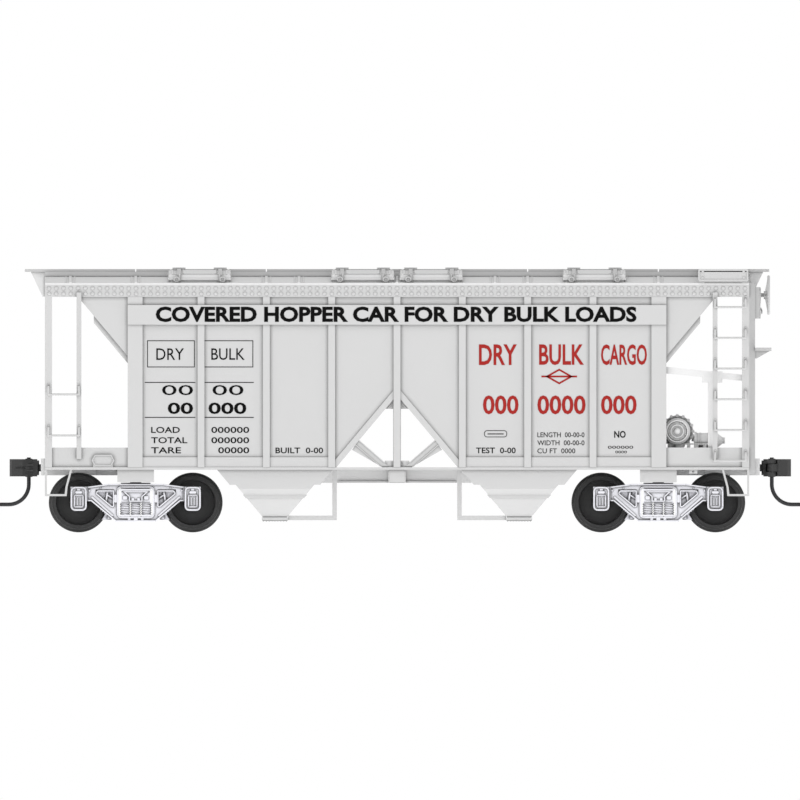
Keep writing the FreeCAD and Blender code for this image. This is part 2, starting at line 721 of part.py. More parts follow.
def make_hangers():
    """L-shaped frames from the side sill to the outlet gates, one at each chute's inner side."""
    low = "outlet_low - gate_thick"
    reach = "outlet_spacing / 2 - outlet_long / 2 - band_proud"
    outline = [
        ("brace_at", "sill_low"),
        ("brace_at", low),
        (reach, low),
        (reach, f"{low} + brace_bar"),
        ("brace_at + brace_bar", f"{low} + brace_bar"),
        ("brace_at + brace_bar", "sill_low"),
    ]
    front = prism("hanger", "XZ", outline, "-outlet_outer", "-outlet_outer + brace_bar")
    back = mirror("hanger_a", front, V(1, 0, 0))
    return group(
        "outlet_hangers", front, back, mirror("hanger_right", front, V(0, 1, 0)),
        mirror("hanger_a_right", back, V(0, 1, 0))
    )


node(make_hangers())

# ---- underframe ----------------------------------------------------------------------------------

TRUCK_AT = "(truck_spacing / 2)"
BOLSTER_IN = f"({TRUCK_AT} - bolster_long / 2)"
BOLSTER_OUT = f"({TRUCK_AT} + bolster_long / 2)"
BOX_TOP = "(draft_low + draft_tall)"
A_BOX_IN = "(draft_front - draft_long)"
B_BOX_IN = f"({A_BOX_IN} + b_end_step)"
END_PLATE_IN = f"({HALF} - sheet_thick)"
B_PIVOT = "(draft_front + b_end_step - pivot_back)"


def make_centre_sill():
    """The beam down the middle: low between the bays, stepped over the bolsters and the coupler boxes."""
    outline = [
        ("-sill_crown_from", SILL_TOP),
        ("-sill_crown_from", SILL_ROOF),
        (f"-{END_PLATE_IN}", SILL_ROOF),
        (f"-{END_PLATE_IN}", BOX_TOP),
        (f"-{A_BOX_IN}", BOX_TOP),
        (f"-{A_BOX_IN}", "draft_low"),
        (f"-{BOLSTER_OUT}", "draft_low"),
        (f"-{BOLSTER_OUT}", "sill_low"),
        ("-sill_deep_half", "sill_low"),
        ("-sill_deep_half", "centre_sill_low"),
        ("sill_deep_half", "centre_sill_low"),
        ("sill_deep_half", "sill_low"),
        (BOLSTER_OUT, "sill_low"),
        (BOLSTER_OUT, "draft_low"),
        (B_BOX_IN, "draft_low"),
        (B_BOX_IN, BOX_TOP),
        (END_PLATE_IN, BOX_TOP),
        (END_PLATE_IN, SILL_ROOF),
        ("sill_crown_from", SILL_ROOF),
        ("sill_crown_from", SILL_TOP),
    ]
    beam = prism("sill_beam", "XZ", outline, "-centre_sill_wide / 2", "centre_sill_wide / 2")
    hole_b = rod("sill_hole_b", "z", "screw_radius", BOX_TOP, f"{SILL_ROOF} - 0.2", x=B_PIVOT)
    hole_a = rod(
        "sill_hole_a", "z", "screw_radius", BOX_TOP, f"{SILL_ROOF} - 0.2", x=f"-({B_PIVOT} - b_end_step)"
    )
    return cut("centre_sill", beam, hole_a, hole_b)


node(make_centre_sill())

bolster_body = box(
    "bolster_blank",
    x=(BOLSTER_IN, BOLSTER_OUT),
    y=(f"-{BIN_HALF}", BIN_HALF),
    z=("bolster_low", "sill_low"),
)
bolster_hole = rod("bolster_hole", "z", "kingpin_radius", "bolster_low", "kingpin_top", x=TRUCK_AT)
bolster_b = cut("body_bolster_b", bolster_body, bolster_hole)
node(group("body_bolsters", bolster_b, opposite("body_bolster_a", bolster_b)))


def make_platform():
    """Deck of one end with its side skirts and end sill; the coupler box comes out through the end sill."""
    deck = box(
        "deck", x=("deck_from", f"{HALF} - corner_wall"), y=(f"-{BIN_HALF}", BIN_HALF),
        z=(SILL_ROOF, "deck_top")
    )
    skirts = []
    for name, low, high in (("left", f"-({FACE})", f"-{BIN_HALF}"), ("right", BIN_HALF, FACE)):
        span = ("sheet_end", f"{HALF} - corner_wall")
        skirts.append(box(f"skirt_{name}", x=span, y=(low, high), z=(SILL_TOP, "apron_top")))
    reach = f"({FACE} + chord_proud - corner_leg)"
    plate = box("end_plate", x=(END_PLATE_IN, HALF), y=(f"-{reach}", reach), z=("sill_low", "apron_top"))
    window = box(
        "end_window",
        x=(f"{END_PLATE_IN} - 1", f"{HALF} + 1"),
        y=("-draft_half - 0.1", "draft_half + 0.1"),
        z=("sill_low - 1", BOX_TOP),
    )
    return fused("end_platform_b", deck, *skirts, cut("end_plate_cut", plate, window))


platform_b = node(make_platform())
node(opposite("end_platform_a", platform_b))


def make_corner_post():
    """Angle between the side sill and the top chord at one corner."""
    front = f"-({FACE}) - chord_proud"
    z = (SILL_TOP, CHORD_LOW)
    along = box("corner_along", x=(f"{HALF} - corner_leg", HALF), y=(front, f"-({FACE})"), z=z)
    across = box(
        "corner_across", x=(f"{HALF} - corner_wall", HALF), y=(front, f"{front} + corner_leg"), z=z
    )
    return fused("corner_post", along, across)


def four_corners(name, piece):
    """A piece of the left side's B end, at all four corners of the car."""
    left_a = mirror(f"{name}_left_a", piece, V(1, 0, 0))
    return group(
        name, piece, left_a, opposite(f"{name}_right_a", piece), opposite(f"{name}_right_b", left_a)
    )


node(four_corners("corner_posts", make_corner_post()))


def roof_z(y):
    """Top of the roof at a distance from the ridge."""
    return f"(eave_height + eave_edge + roof_rise * (1 - ({y}) / (eave_width / 2)))"


ROOF_PLATE = "(roof_thick - eave_edge)"
fascia = prism(
    "end_fascia_b",
    "YZ",
    [
        (f"-{BIN_HALF}", CHORD_LOW),
        (BIN_HALF, CHORD_LOW),
        (BIN_HALF, "eave_height"),
        ("0.0", f"eave_height + roof_rise - {ROOF_PLATE}"),
        (f"-{BIN_HALF}", "eave_height"),
    ],
    END_PLATE_IN,
    HALF,
)
node(group("end_fascias", fascia, opposite("end_fascia_a", fascia)))

# ---- roof ----------------------------------------------------------------------------------------

HATCHES = [("near", "hatch_near"), ("away", "hatch_away")]


def hatch_block(name, where, inset, low, high):
    """A block over one hatch on the right of the ridge, between two heights above the roof."""
    near = f"(hatch_out - hatch_wide / 2 + {inset})"
    far = f"(hatch_out + hatch_wide / 2 - {inset})"
    outline = [
        (y, f"{roof_z(y)} + ({z})") for y, z in ((near, low), (far, low), (far, high), (near, high))
    ]
    start = f"{where} - hatch_long / 2 + {inset}"
    return prism(name, "YZ", outline, start, f"{where} + hatch_long / 2 - {inset}")


def around_ridge(name, piece):
    """A piece of the right side's B half, with its copies in the other three quarters of the roof."""
    left_b = mirror(f"{name}_left_b", piece, V(0, 1, 0))
    return [piece, left_b, opposite(f"{name}_left_a", piece), opposite(f"{name}_right_a", left_b)]


def make_roof():
    eave = "(eave_width / 2)"
    underside = f"eave_height + roof_rise - {ROOF_PLATE}"
    outline = [
        (f"-{eave}", "eave_height"),
        (f"-{BIN_HALF}", "eave_height"),
        ("0.0", underside),
        (BIN_HALF, "eave_height"),
        (eave, "eave_height"),
        (eave, "eave_height + eave_edge"),
        ("0.0", roof_z("0")),
        (f"-{eave}", "eave_height + eave_edge"),
    ]
    plate = prism("roof_plate", "YZ", outline, f"-({HALF})", HALF)
    coamings = []
    openings = []
    for name, where in HATCHES:
        coamings += around_ridge(
            f"coaming_{name}", hatch_block(f"coaming_{name}", where, "coaming_in", "-0.2", "hatch_lift")
        )
        inner = "(coaming_in + coaming_wall)"
        openings += around_ridge(
            f"opening_{name}", hatch_block(f"opening_{name}", where, inner, "-2", "2")
        )
    return cut("roof", fused("roof_with_coamings", plate, *coamings), *openings)


node(make_roof())

covers = []
for hatch, where in HATCHES:
    cover = hatch_block(f"cover_{hatch}", where, "0", "hatch_lift", "hatch_lift + hatch_thick")
    covers += around_ridge(f"cover_{hatch}", cover)
node(group("roof_hatches", *covers))


def make_strap():
    """Strap over a hatch on the right at x = 0: hinge block, bar, turned-down end and eye nut."""
    inner = "(hatch_out - hatch_wide / 2)"
    outer = "(hatch_out + hatch_wide / 2)"
    lid = "hatch_lift + hatch_thick"
    low_in = f"{roof_z(inner)} + {lid}"
    low_out = f"{roof_z(outer)} + {lid}"
    outline = [
        (inner, low_in),
        (outer, low_out),
        (outer, f"{low_out} - 1.05"),
        (f"{outer} + strap_thick", f"{low_out} - 1.05"),
        (f"{outer} + strap_thick", f"{low_out} + strap_thick"),
        (inner, f"{low_in} + strap_thick"),
    ]
    bar = prism("strap_bar", "YZ", outline, "-strap_wide / 2", "strap_wide / 2")
    hinge = box(
        "strap_hinge",
        x=("-hinge_wide / 2", "hinge_wide / 2"),
        y=(f"{inner} - hinge_deep", inner),
        z=(roof_z(f"{inner} - hinge_deep"), f"{low_in} + hinge_rise"),
    )
    eye_z = f"{roof_z(outer)} + eye_radius"
    eye = rod(
        "strap_eye", "y", "eye_radius", f"{outer} + 0.1", f"{outer} + 0.75", x="eye_off - strap_off",
        z=eye_z
    )
    return fused("hatch_strap", bar, hinge, eye)


strap = make_strap()
flipped_strap = mirror("flipped_strap", strap, V(1, 0, 0))
straps = []
for hatch, where in HATCHES:
    for end, sign in (("b", ""), ("a", "-")):
        middle = f"({sign}({where}))"
        for turn, side in ((0, "right"), (180, "left")):
            name = f"strap_{hatch}_{end}_{side}"
            first, second = (strap, flipped_strap) if turn == 0 else (flipped_strap, strap)
            straps.append(copy_of(f"{name}_1", first, turn, x=f"{middle} + strap_off"))
            straps.append(copy_of(f"{name}_2", second, turn, x=f"{middle} - strap_off"))
node(group("hatch_straps", *straps))

WALK_LOW = "(walk_top - walk_thick)"
WALK_SIDE = "(1.5 * plank_wide + plank_gap)"
planks = []
for i in (-1, 0, 1):
    middle = f"{i} * (plank_wide + plank_gap)"
    planks.append(
        box(
            f"plank_{i + 1}",
            x=("-walk_half", "walk_half"),
            y=(f"{middle} - plank_wide / 2", f"{middle} + plank_wide / 2"),
            z=(WALK_LOW, "walk_top"),
        )
    )
node(group("roof_walk", *planks))


def make_walk_brackets():
    """Saddles over the ridge under the running board, and the triangular brackets under its ends."""
    outline = [
        (f"-{WALK_SIDE}", roof_z(WALK_SIDE)),
        ("0.0", roof_z("0")),
        (WALK_SIDE, roof_z(WALK_SIDE)),
        (WALK_SIDE, WALK_LOW),
        (f"-{WALK_SIDE}", WALK_LOW),
    ]
    made = []
    for i in range(-5, 6):
        middle = f"{i} * saddle_pitch"
        made.append(
            prism(
                f"saddle_{i + 5}", "YZ", outline, f"{middle} - saddle_long / 2",
                f"{middle} + saddle_long / 2"
            )
        )
    tip = f"({HALF} + 0.7 * (walk_half - {HALF}))"
    triangle = [
        (HALF, WALK_LOW),
        (HALF, f"{WALK_LOW} - gusset_drop"),
        (f"{HALF} + gusset_thick", f"{WALK_LOW} - gusset_drop"),
        (tip, WALK_LOW),
    ]
    for hand, sign in (("left", "-"), ("right", "")):
        middle = f"{sign}(plank_wide + plank_gap)"
        bracket = prism(
            f"end_bracket_{hand}", "XZ", triangle, f"{middle} - gusset_thick / 2",
            f"{middle} + gusset_thick / 2"
        )
        made += [bracket, opposite(f"end_bracket_{hand}_a", bracket)]
    return group("roof_walk_brackets", *made)


node(make_walk_brackets())


def make_lateral():
    """Cross walk from the running board to the left eave at the B end, on two wedge supports."""
    outer = "(eave_width / 2 + 0.4)"
    plank = "((lateral_wide - 3 * plank_gap) / 4)"
    pieces = []
    for i in range(4):
        start = f"lateral_from + {i} * ({plank} + plank_gap)"
        pieces.append(
            box(
                f"cross_plank_{i}",
                x=(start, f"{start} + {plank}"),
                y=(f"-{outer}", f"-{WALK_SIDE} - plank_gap"),
                z=(WALK_LOW, "walk_top"),
            )
        )
    lip = box(
        "cross_lip",
        x=("lateral_from", "lateral_from + lateral_wide"),
        y=(f"-{outer}", f"-{outer} + 0.35"),
        z=(f"{WALK_LOW} - lateral_skirt", WALK_LOW),
    )
    pieces.append(lip)
    near = f"({WALK_SIDE} + 0.6)"
    far = "(eave_width / 2)"
    wedge = [
        (f"-{near}", WALK_LOW),
        (f"-{near}", roof_z(near)),
        (f"-{far}", roof_z(far)),
        (f"-{outer} + 0.35", roof_z(far)),
        (f"-{outer} + 0.35", WALK_LOW),
    ]
    for i, start in enumerate(("lateral_from + 0.6", "lateral_from + lateral_wide - 1.1")):
        pieces.append(prism(f"cross_wedge_{i}", "YZ", wedge, start, f"{start} + 0.5"))
    return fused("lateral_walk_b", *pieces)


lateral_b = make_lateral()
node(group("lateral_walks", lateral_b, opposite("lateral_walk_a", lateral_b)))

# ---- ladders, grabs and steps --------------------------------------------------------------------

STILE_BACK = f"({FACE} + chord_proud)"
STILE_FRONT = f"({STILE_BACK} + stile_thick)"
RUNG_Y = f"({STILE_FRONT} + rung_out - wire / 2)"
RUNG_END = f"({HALF} - corner_leg / 2)"


def make_rung():
    """Drop grab between the stile and the corner post of the left side's B end, its bar at z = 0."""
    pieces = []
    for name, x, back in (("inner", "stile_at", STILE_FRONT), ("outer", RUNG_END, STILE_BACK)):
        at = {"x": x, "y": f"-{RUNG_Y}"}
        pieces.append(
            rod(f"rung_{name}_foot", "y", "wire / 2", f"-{RUNG_Y}", f"-{back}", x=x, z="rung_drop")
        )
        pieces.append(rod(f"rung_{name}_leg", "z", "wire / 2", "0", "rung_drop", **at))
        for i, height in enumerate(("0", "rung_drop")):
            ball = doc.addObject("Part::Sphere", f"rung_{name}_bend_{i}")
            ball.setExpression("Radius", bound("wire / 2"))
            for letter, text in {**at, "z": height}.items():
                ball.setExpression(f"Placement.Base.{letter}", bound(text))
            pieces.append(ball)
    pieces.append(rod("rung_bar", "x", "wire / 2", "stile_at", RUNG_END, y=f"-{RUNG_Y}", z="0"))
    return fused("rung", *pieces)


def make_stile():
    """Flat upright from the sill to the top chord, with a foot block on the end platform's skirt."""
    x = ("stile_at - stile_wide / 2", "stile_at + stile_wide / 2")
    post = box(
        "stile_post", x=x, y=(f"-{STILE_FRONT}", f"-{STILE_BACK}"), z=("stile_low", f"{CHORD_LOW} + 0.8")
    )
    foot = box(
        "stile_foot", x=x, y=(f"-{STILE_BACK}", f"-({FACE})"), z=("stile_low", "stile_low + stile_wide")
    )
    return fused("stile", post, foot)


rung = make_rung()
stile = make_stile()
ladder = [stile] + [copy_of(f"rung_{i}", rung, z=f"rung_low + {i} * rung_pitch") for i in range(6)]
ladder_left = group("ladder_left", *ladder)
node(group("side_ladders", ladder_left, mirror("ladder_right", ladder_left, V(0, 1, 0))))

post_a = mirror("grab_post_left_a", stile, V(1, 0, 0))
rung_a = mirror("grab_left_a", rung, V(1, 0, 0))
grabs = [post_a]
for name, height in (("low", "grab_low"), ("high", "grab_high")):
    grabs.append(copy_of(f"grab_{name}", rung_a, z=height))
grabs_left = group("grabs_left", *grabs)
node(group("grab_posts", grabs_left, mirror("grabs_right", grabs_left, V(0, 1, 0))))


def make_step():
    """Stirrup step below the left side's B end corner."""
    foot = "(sill_low - step_drop)"
    outer = f"({HALF})"
    inner = f"({HALF} - wire - step_long)"
    kink = f"({foot} + 0.35 * step_drop)"
    outline = [
        (outer, "sill_low"),
        (outer, foot),
        (f"{inner}", foot),
        (f"{inner} - 0.15", kink),
        (f"{inner} - step_splay", "sill_low"),
        (f"{inner} - step_splay + wire", "sill_low"),
        (f"{inner} - 0.15 + wire", kink),
        (f"{inner} + wire", f"{foot} + wire"),
        (f"{outer} - wire", f"{foot} + wire"),
        (f"{outer} - wire", "sill_low"),
    ]
    return prism("stirrup_step", "XZ", outline, f"-({FACE}) - 0.3", f"-({FACE}) + 0.2")


node(four_corners("stirrup_steps", make_step()))

card = prism(
    "card_board_a",
    "XZ",
    [
        ("-card_at - card_long / 2", SILL_TOP),
        ("-card_at + card_long / 2", SILL_TOP),
        ("-card_at + card_long / 2", f"{SILL_TOP} + 0.7 * card_tall"),
        ("-card_at + 0.4 * card_long", f"{SILL_TOP} + card_tall"),
        ("-card_at - 0.4 * card_long", f"{SILL_TOP} + card_tall"),
        ("-card_at - card_long / 2", f"{SILL_TOP} + 0.7 * card_tall"),
    ],
    f"-({FACE}) - 0.3",
    f"-({FACE})",
)
node(group("card_boards", card, opposite("card_board_b", card)))


def make_staple():
    """Roping staple under the side sill: a small plate with a hole."""
    foot = "(sill_low - 0.65)"
    plate = box(
        "staple_plate", x=("staple_at - 0.7", "staple_at + 0.7"), y=(f"-({FACE})", f"-{BIN_HALF}"),
        z=(foot, "sill_low")
    )
    hole = rod(
        "staple_hole", "y", "0.2", f"-({FACE}) - 1", f"-{BIN_HALF} + 1", x="staple_at", z=f"{foot} + 0.32"
    )
    return cut("staple", plate, hole)


staple = make_staple()
node(group("roping_staples", staple, opposite("staple_far", staple)))

# ---- hand brake ----------------------------------------------------------------------------------

MAST_FACE = f"({HALF} + mast_thick)"


def make_mast():
    """Two posts with ties between them at the foot, below the brake gear and at the top."""
    pieces = []
    for name, sign in (("outer", "-"), ("inner", "")):
        middle = f"(-brake_y {sign or '+'} (mast_gap + mast_wide) / 2)"
        y = (f"{middle} - mast_wide / 2", f"{middle} + mast_wide / 2")
        pieces.append(box(f"mast_{name}", x=(HALF, MAST_FACE), y=y, z=("mast_low", "mast_top")))
    y = ("-brake_y - mast_gap / 2", "-brake_y + mast_gap / 2")
    for i, height in enumerate(("mast_low", "case_low", "mast_top - 0.8")):
        pieces.append(box(f"mast_tie_{i}", x=(HALF, MAST_FACE), y=y, z=(height, f"{height} + 0.8")))
    return fused("brake_mast", *pieces)


node(make_mast())

case_block = box(
    "case_block",
    x=(MAST_FACE, f"{MAST_FACE} + case_thick"),
    y=("-brake_y - case_wide / 2", "-brake_y + case_wide / 2"),
    z=("case_low", "case_low + case_tall"),
)
case_bore = rod(
    "case_bore",
    "x",
    "shaft_radius + running_gap",
    f"{MAST_FACE} - 1",
    f"{MAST_FACE} + case_thick + 1",
    y="-brake_y",
    z="brake_z",
)
node(cut("brake_housing", case_block, case_bore))

rod_x = f"({HALF} + mast_thick / 2)"
node(rod("brake_rod", "z", "rod_radius", "mast_low + 0.8", "case_low", x=rod_x, y="-brake_y"))


def make_brake_step():
    """Step plate on two triangular knees."""
    plate = box(
        "step_plate_box",
        x=(MAST_FACE, f"{MAST_FACE} + step_deep"),
        y=("-brake_y - step_wide / 2", "-brake_y + step_wide / 2"),
        z=("step_high - step_plate", "step_high"),
    )
    knee_outline = [
        (MAST_FACE, "step_high - step_plate"),
        (MAST_FACE, "step_high - step_plate - step_knee"),
        (f"{MAST_FACE} + 0.3", "step_high - step_plate - step_knee"),
        (f"{MAST_FACE} + 0.9 * step_deep", "step_high - step_plate"),
    ]
    pieces = [plate]
    for name, sign in (("outer", "-"), ("inner", "+")):
        middle = f"(-brake_y {sign} (mast_gap + mast_wide) / 2)"
        pieces.append(prism(f"knee_{name}", "XZ", knee_outline, f"{middle} - 0.25", f"{middle} + 0.25"))
    return fused("brake_step", *pieces)


node(make_brake_step())


def make_brake_wheel():
    """Dished wheel on its shaft, made about the X axis with the hub's back at x = 0."""
    tail = f"({MAST_FACE} + 0.1 - hub_at)"
    hub_outline = [
        (tail, "0.0"),
        (tail, "shaft_radius"),
        ("-0.2", "shaft_radius"),
        ("-0.2", "hub_radius"),
        ("0.5", "hub_radius"),
        ("0.5", "0.0"),
    ]
    hub = turned("wheel_hub", "XZ", "H", hub_outline)
    rim_x = "rim_at - hub_at"
    rim = doc.addObject("Part::Torus", "wheel_rim_ring")
    rim.Placement = FreeCAD.Placement(V(), FreeCAD.Rotation(V(0, 1, 0), 90))
    rim.setExpression("Radius1", bound("wheel_rim - rim_wire / 2"))
    rim.setExpression("Radius2", bound("rim_wire / 2"))
    rim.setExpression("Placement.Base.x", bound(rim_x))
    spoke_outline = [
        ("0.0", "hub_radius - 0.2"),
        ("0.4", "hub_radius - 0.2"),
        (f"{rim_x} + 0.15", "wheel_rim - rim_wire"),
        (f"{rim_x} - 0.15", "wheel_rim - rim_wire / 2"),
        (f"{rim_x} - 0.25", "wheel_rim - rim_wire"),
    ]
    spoke = prism("wheel_spoke", "XY", spoke_outline, "-0.2", "0.2")
    pieces = [hub, rim, spoke]
    for i in range(1, 6):
        turned_spoke = doc.addObject("App::Link", f"wheel_spoke_{i}")
        turned_spoke.LinkedObject = spoke
        turned_spoke.LinkTransform = True
        turned_spoke.Placement = FreeCAD.Placement(V(), FreeCAD.Rotation(V(1, 0, 0), 60 * i))
        pieces.append(turned_spoke)
    return fused("wheel_about_x", *pieces)


node(copy_of("brake_wheel", make_brake_wheel(), x="hub_at", y="-brake_y", z="brake_z"))

# ---- air brake -----------------------------------------------------------------------------------

TANK_Y = "-(body_width / 2 - tank_half - tank_clear)"
TANK_Z = "(deck_top + tank_flange + 0.35)"


def make_reservoir():
    """Two-part tank lying across the car, its halves bolted at a flange, on two cradles."""
    outline = [
        ("0.0", "-tank_half"),
        ("0.7 * tank_radius", "-tank_half"),
        ("tank_radius", "-tank_half + 0.5 * tank_radius"),
        ("tank_radius", "-0.4"),
        ("tank_flange", "-0.4"),
        ("tank_flange", "0.4"),
        ("tank_radius", "0.4"),
        ("tank_radius", "tank_half - 0.5 * tank_radius"),
        ("0.7 * tank_radius", "tank_half"),
        ("0.0", "tank_half"),
    ]
    tank = turned("tank_shell", "XY", "V", outline)
    pieces = [tank]
    for i in range(int(number("bolt_count"))):
        angle = f"({i} * 360 / bolt_count)"
        place = {"x": f"tank_flange * sin({angle}) * 0.985", "z": f"tank_flange * cos({angle}) * 0.985"}
        pieces.append(rod(f"tank_bolt_{i}", "y", "bolt_radius", "-0.75", "0.75", **place))
    for i, middle in enumerate(("-0.55 * tank_half", "0.55 * tank_half")):
        cradle = box(
            f"tank_cradle_{i}",
            x=("-0.5 * tank_radius", "0.5 * tank_radius"),
            y=(f"{middle} - 0.4", f"{middle} + 0.4"),
            z=("-tank_flange - 0.35", "-0.7 * tank_radius"),
        )
        pieces.append(cradle)
    return fused("reservoir_at_origin", *pieces)


node(copy_of("air_reservoir", make_reservoir(), x="tank_at", y=TANK_Y, z=TANK_Z))

CYLINDER_Z = "(deck_top + cylinder_flange)"


def make_cylinder():
    """Brake cylinder with a flange at each end and a coned head, on its foot."""
    end = "(cylinder_from + cylinder_long)"
    outline = [
        ("cylinder_from", "0.0"),
        ("cylinder_from", "cylinder_flange"),
        ("cylinder_from + 0.4", "cylinder_flange"),
        ("cylinder_from + 0.4", "cylinder_radius"),
        (f"{end} - 0.4", "cylinder_radius"),
        (f"{end} - 0.4", "cylinder_flange"),
        (end, "cylinder_flange"),
        (f"{end} + 1.2", "0.55"),
        (f"{end} + 1.6", "0.55"),
        (f"{end} + 1.6", "0.0"),
    ]
    barrel = turned("cylinder_barrel", "XZ", "H", outline)
    foot = box(
        "cylinder_foot",
        x=("cylinder_from + 1", f"{end} - 1"),
        y=("-0.5 * cylinder_radius", "0.5 * cylinder_radius"),
        z=("-cylinder_flange", "-0.8 * cylinder_radius"),
    )
    return fused("cylinder_at_axis", barrel, foot)


node(copy_of("brake_cylinder", make_cylinder(), y="-cylinder_y", z=CYLINDER_Z))


def make_valve():
    """Control valve: a pipe bracket with a service and an emergency portion on its two sides."""
    bracket = box(
        "valve_bracket",
        x=("valve_at - 0.3 * valve_long", "valve_at + 0.3 * valve_long"),
        y=("-4.6", "-3.0"),
        z=("deck_top", "deck_top + 2.7"),
    )
    portions = [
        rod("valve_service", "y", "0.9", "-6.2", "-4.6", x="valve_at", z="deck_top + 1.5"),
        rod("valve_emergency", "y", "0.8", "-3.0", "-1.6", x="valve_at", z="deck_top + 1.4"),
        rod(
            "valve_cap", "x", "0.55", "valve_at - valve_long / 2", "valve_at + valve_long / 2", y="-5.4",
            z="deck_top + 1.9"
        ),
    ]
    return fused("control_valve", bracket, *portions)


node(make_valve())


def make_lever_stand():
    """Post on the end platform under a sloping rail from the slope sheet's stiffener to the corner post."""
    out = f"-{BIN_HALF}"
    rail_to = f"({HALF} - corner_wall)"
    rib_face = "stiffener_thick / sin(slope_angle)"
    rail_low_in = "(rail_low + rail_fall)"
    rail_high_in = "(rail_low + rail_fall + rail_tall)"
    post = box(
        "stand_post",
        x=("stand_at - stand_wide / 2", "stand_at + stand_wide / 2"),
        y=(out, f"{out} + stand_thick"),
        z=("deck_top", "rail_low"),
    )
    head = box(
        "stand_head_block",
        x=("stand_at - stand_head / 2", "stand_at + stand_head / 2"),
        y=(out, f"{out} + stand_thick"),
        z=("rail_low - 0.25", "rail_low - 0.25 + head_deep"),
    )
    rail = prism(
        "stand_rail",
        "XZ",
        [
            (outer_x(rail_low_in, rib_face), rail_low_in),
            (rail_to, "rail_low"),
            (rail_to, "rail_low + rail_tall"),
            (outer_x(rail_high_in, rib_face), rail_high_in),
        ],
        out,
        f"{out} + rail_thick",
    )
    return fused("brake_lever_stand", post, head, rail)


node(make_lever_stand())

# ---- ballast -------------------------------------------------------------------------------------


def ballast(name, face_x, low, high):
    """A steel plate on the inside of a slope sheet of the B bay."""
    outline = [
        (face_x(low, f"-{WALL_RUN}"), low),
        (face_x(low, f"-{WALL_RUN} - ballast_thick / sin(slope_angle)"), low),
        (face_x(high, f"-{WALL_RUN} - ballast_thick / sin(slope_angle)"), high),
        (face_x(high, f"-{WALL_RUN}"), high),
    ]
    return prism(name, "XZ", outline, "-ballast_wide / 2", "ballast_wide / 2")


end_weight = ballast("weight_end_b", outer_x, "ballast_low", "ballast_high")
inner_weight = ballast("weight_inner_b", inner_x, "ballast_low", "ballast_mid_high")
node(
    group(
        "ballast_weights",
        end_weight,
        inner_weight,
        opposite("weight_end_a", end_weight),
        opposite("weight_inner_a", inner_weight),
    )
)

# ---- trucks --------------------------------------------------------------------------------------

AXLE_X = "(wheelbase / 2)"
BOX_IN = f"({AXLE_X} - box_half)"
BOX_OUT = f"({AXLE_X} + box_half)"
EAR = f"({BOX_IN} - ear_long)"
BAR_SLOPE = f"((frame_ear - frame_low) / ({EAR} - frame_foot))"
COLUMN = "(window_half + column_wide)"
AXLE_Z = "flange_radius"
FRAME_OUT = "(frame_inner + frame_thick)"


def bar_low(x):
    """Lower edge of a side frame's sloping bar."""
    return f"(frame_low + {BAR_SLOPE} * ({x} - frame_foot))"


def make_side_frame():
    """Left side frame of a truck with its journal boxes, springs and blind bearings."""
    right = [
        ("frame_arch", "frame_top"),
        (BOX_IN, "box_top"),
        (BOX_OUT, "box_top"),
        (BOX_OUT, "box_low + 0.6"),
        (f"{BOX_OUT} - 0.6", "box_low"),
        (f"{BOX_IN} + 0.6", "box_low"),
        (BOX_IN, "box_low + 0.6"),
        (BOX_IN, "frame_ear"),
        (EAR, "frame_ear"),
        ("frame_foot", "frame_low"),
    ]
    left = [(f"-({x})", z) for x, z in reversed(right)]
    body = prism("side_frame", "XZ", left + right, f"-{FRAME_OUT}", "-frame_inner")
    window = rectangle("-window_half", "window_half", "frame_low + frame_bar", "frame_top - 0.75")
    pocket(body, "bolster_window", "XZ", window, f"-{FRAME_OUT} - 1", "-frame_inner + 1")
    slot_end = f"({EAR} - 0.8)"
    for end in ("", "-"):
        triangle = [
            (f"{end}{COLUMN}", "frame_top - frame_bar"),
            (f"{end}{COLUMN}", f"{bar_low(COLUMN)} + frame_belly"),
            (f"{end}{slot_end}", f"{bar_low(slot_end)} + frame_belly"),
            (f"{end}{slot_end}", "frame_top - frame_bar"),
        ]
        pocket(body, "frame_slot", "XZ", triangle, f"-{FRAME_OUT} - 1", "-frame_inner + 1")
    pieces = [body]
    bearings = []
    for i, sign in enumerate(("-", "")):
        x = f"{sign}{AXLE_X}"
        face = [
            (f"{x} - box_half", "box_top"),
            (f"{x} - box_half", "box_low + 0.6"),
            (f"{x} - box_half + 0.6", "box_low"),
            (f"{x} + box_half - 0.6", "box_low"),
            (f"{x} + box_half", "box_low + 0.6"),
            (f"{x} + box_half", "box_top"),
        ]
        pieces.append(prism(f"journal_box_{i}", "XZ", face, f"-{FRAME_OUT} - box_out", f"-{FRAME_OUT}"))
        radius = "journal_radius + journal_gap"
        bearings.append(
            rod(f"bearing_{i}", "y", radius, "-axle_half - 0.25", "-frame_inner + 1", x=x, z=AXLE_Z)
        )
    for i in (-1, 0, 1):
        spring = rod(
            f"spring_{i + 1}",
            "z",
            "spring_radius",
            "frame_low + frame_bar",
            "truck_bolster_low",
            x=f"{i} * spring_pitch",
            y="-frame_inner - frame_thick / 2",
        )
        pieces.append(spring)
    return cut("bored_frame", fused("whole_frame", *pieces), *bearings)


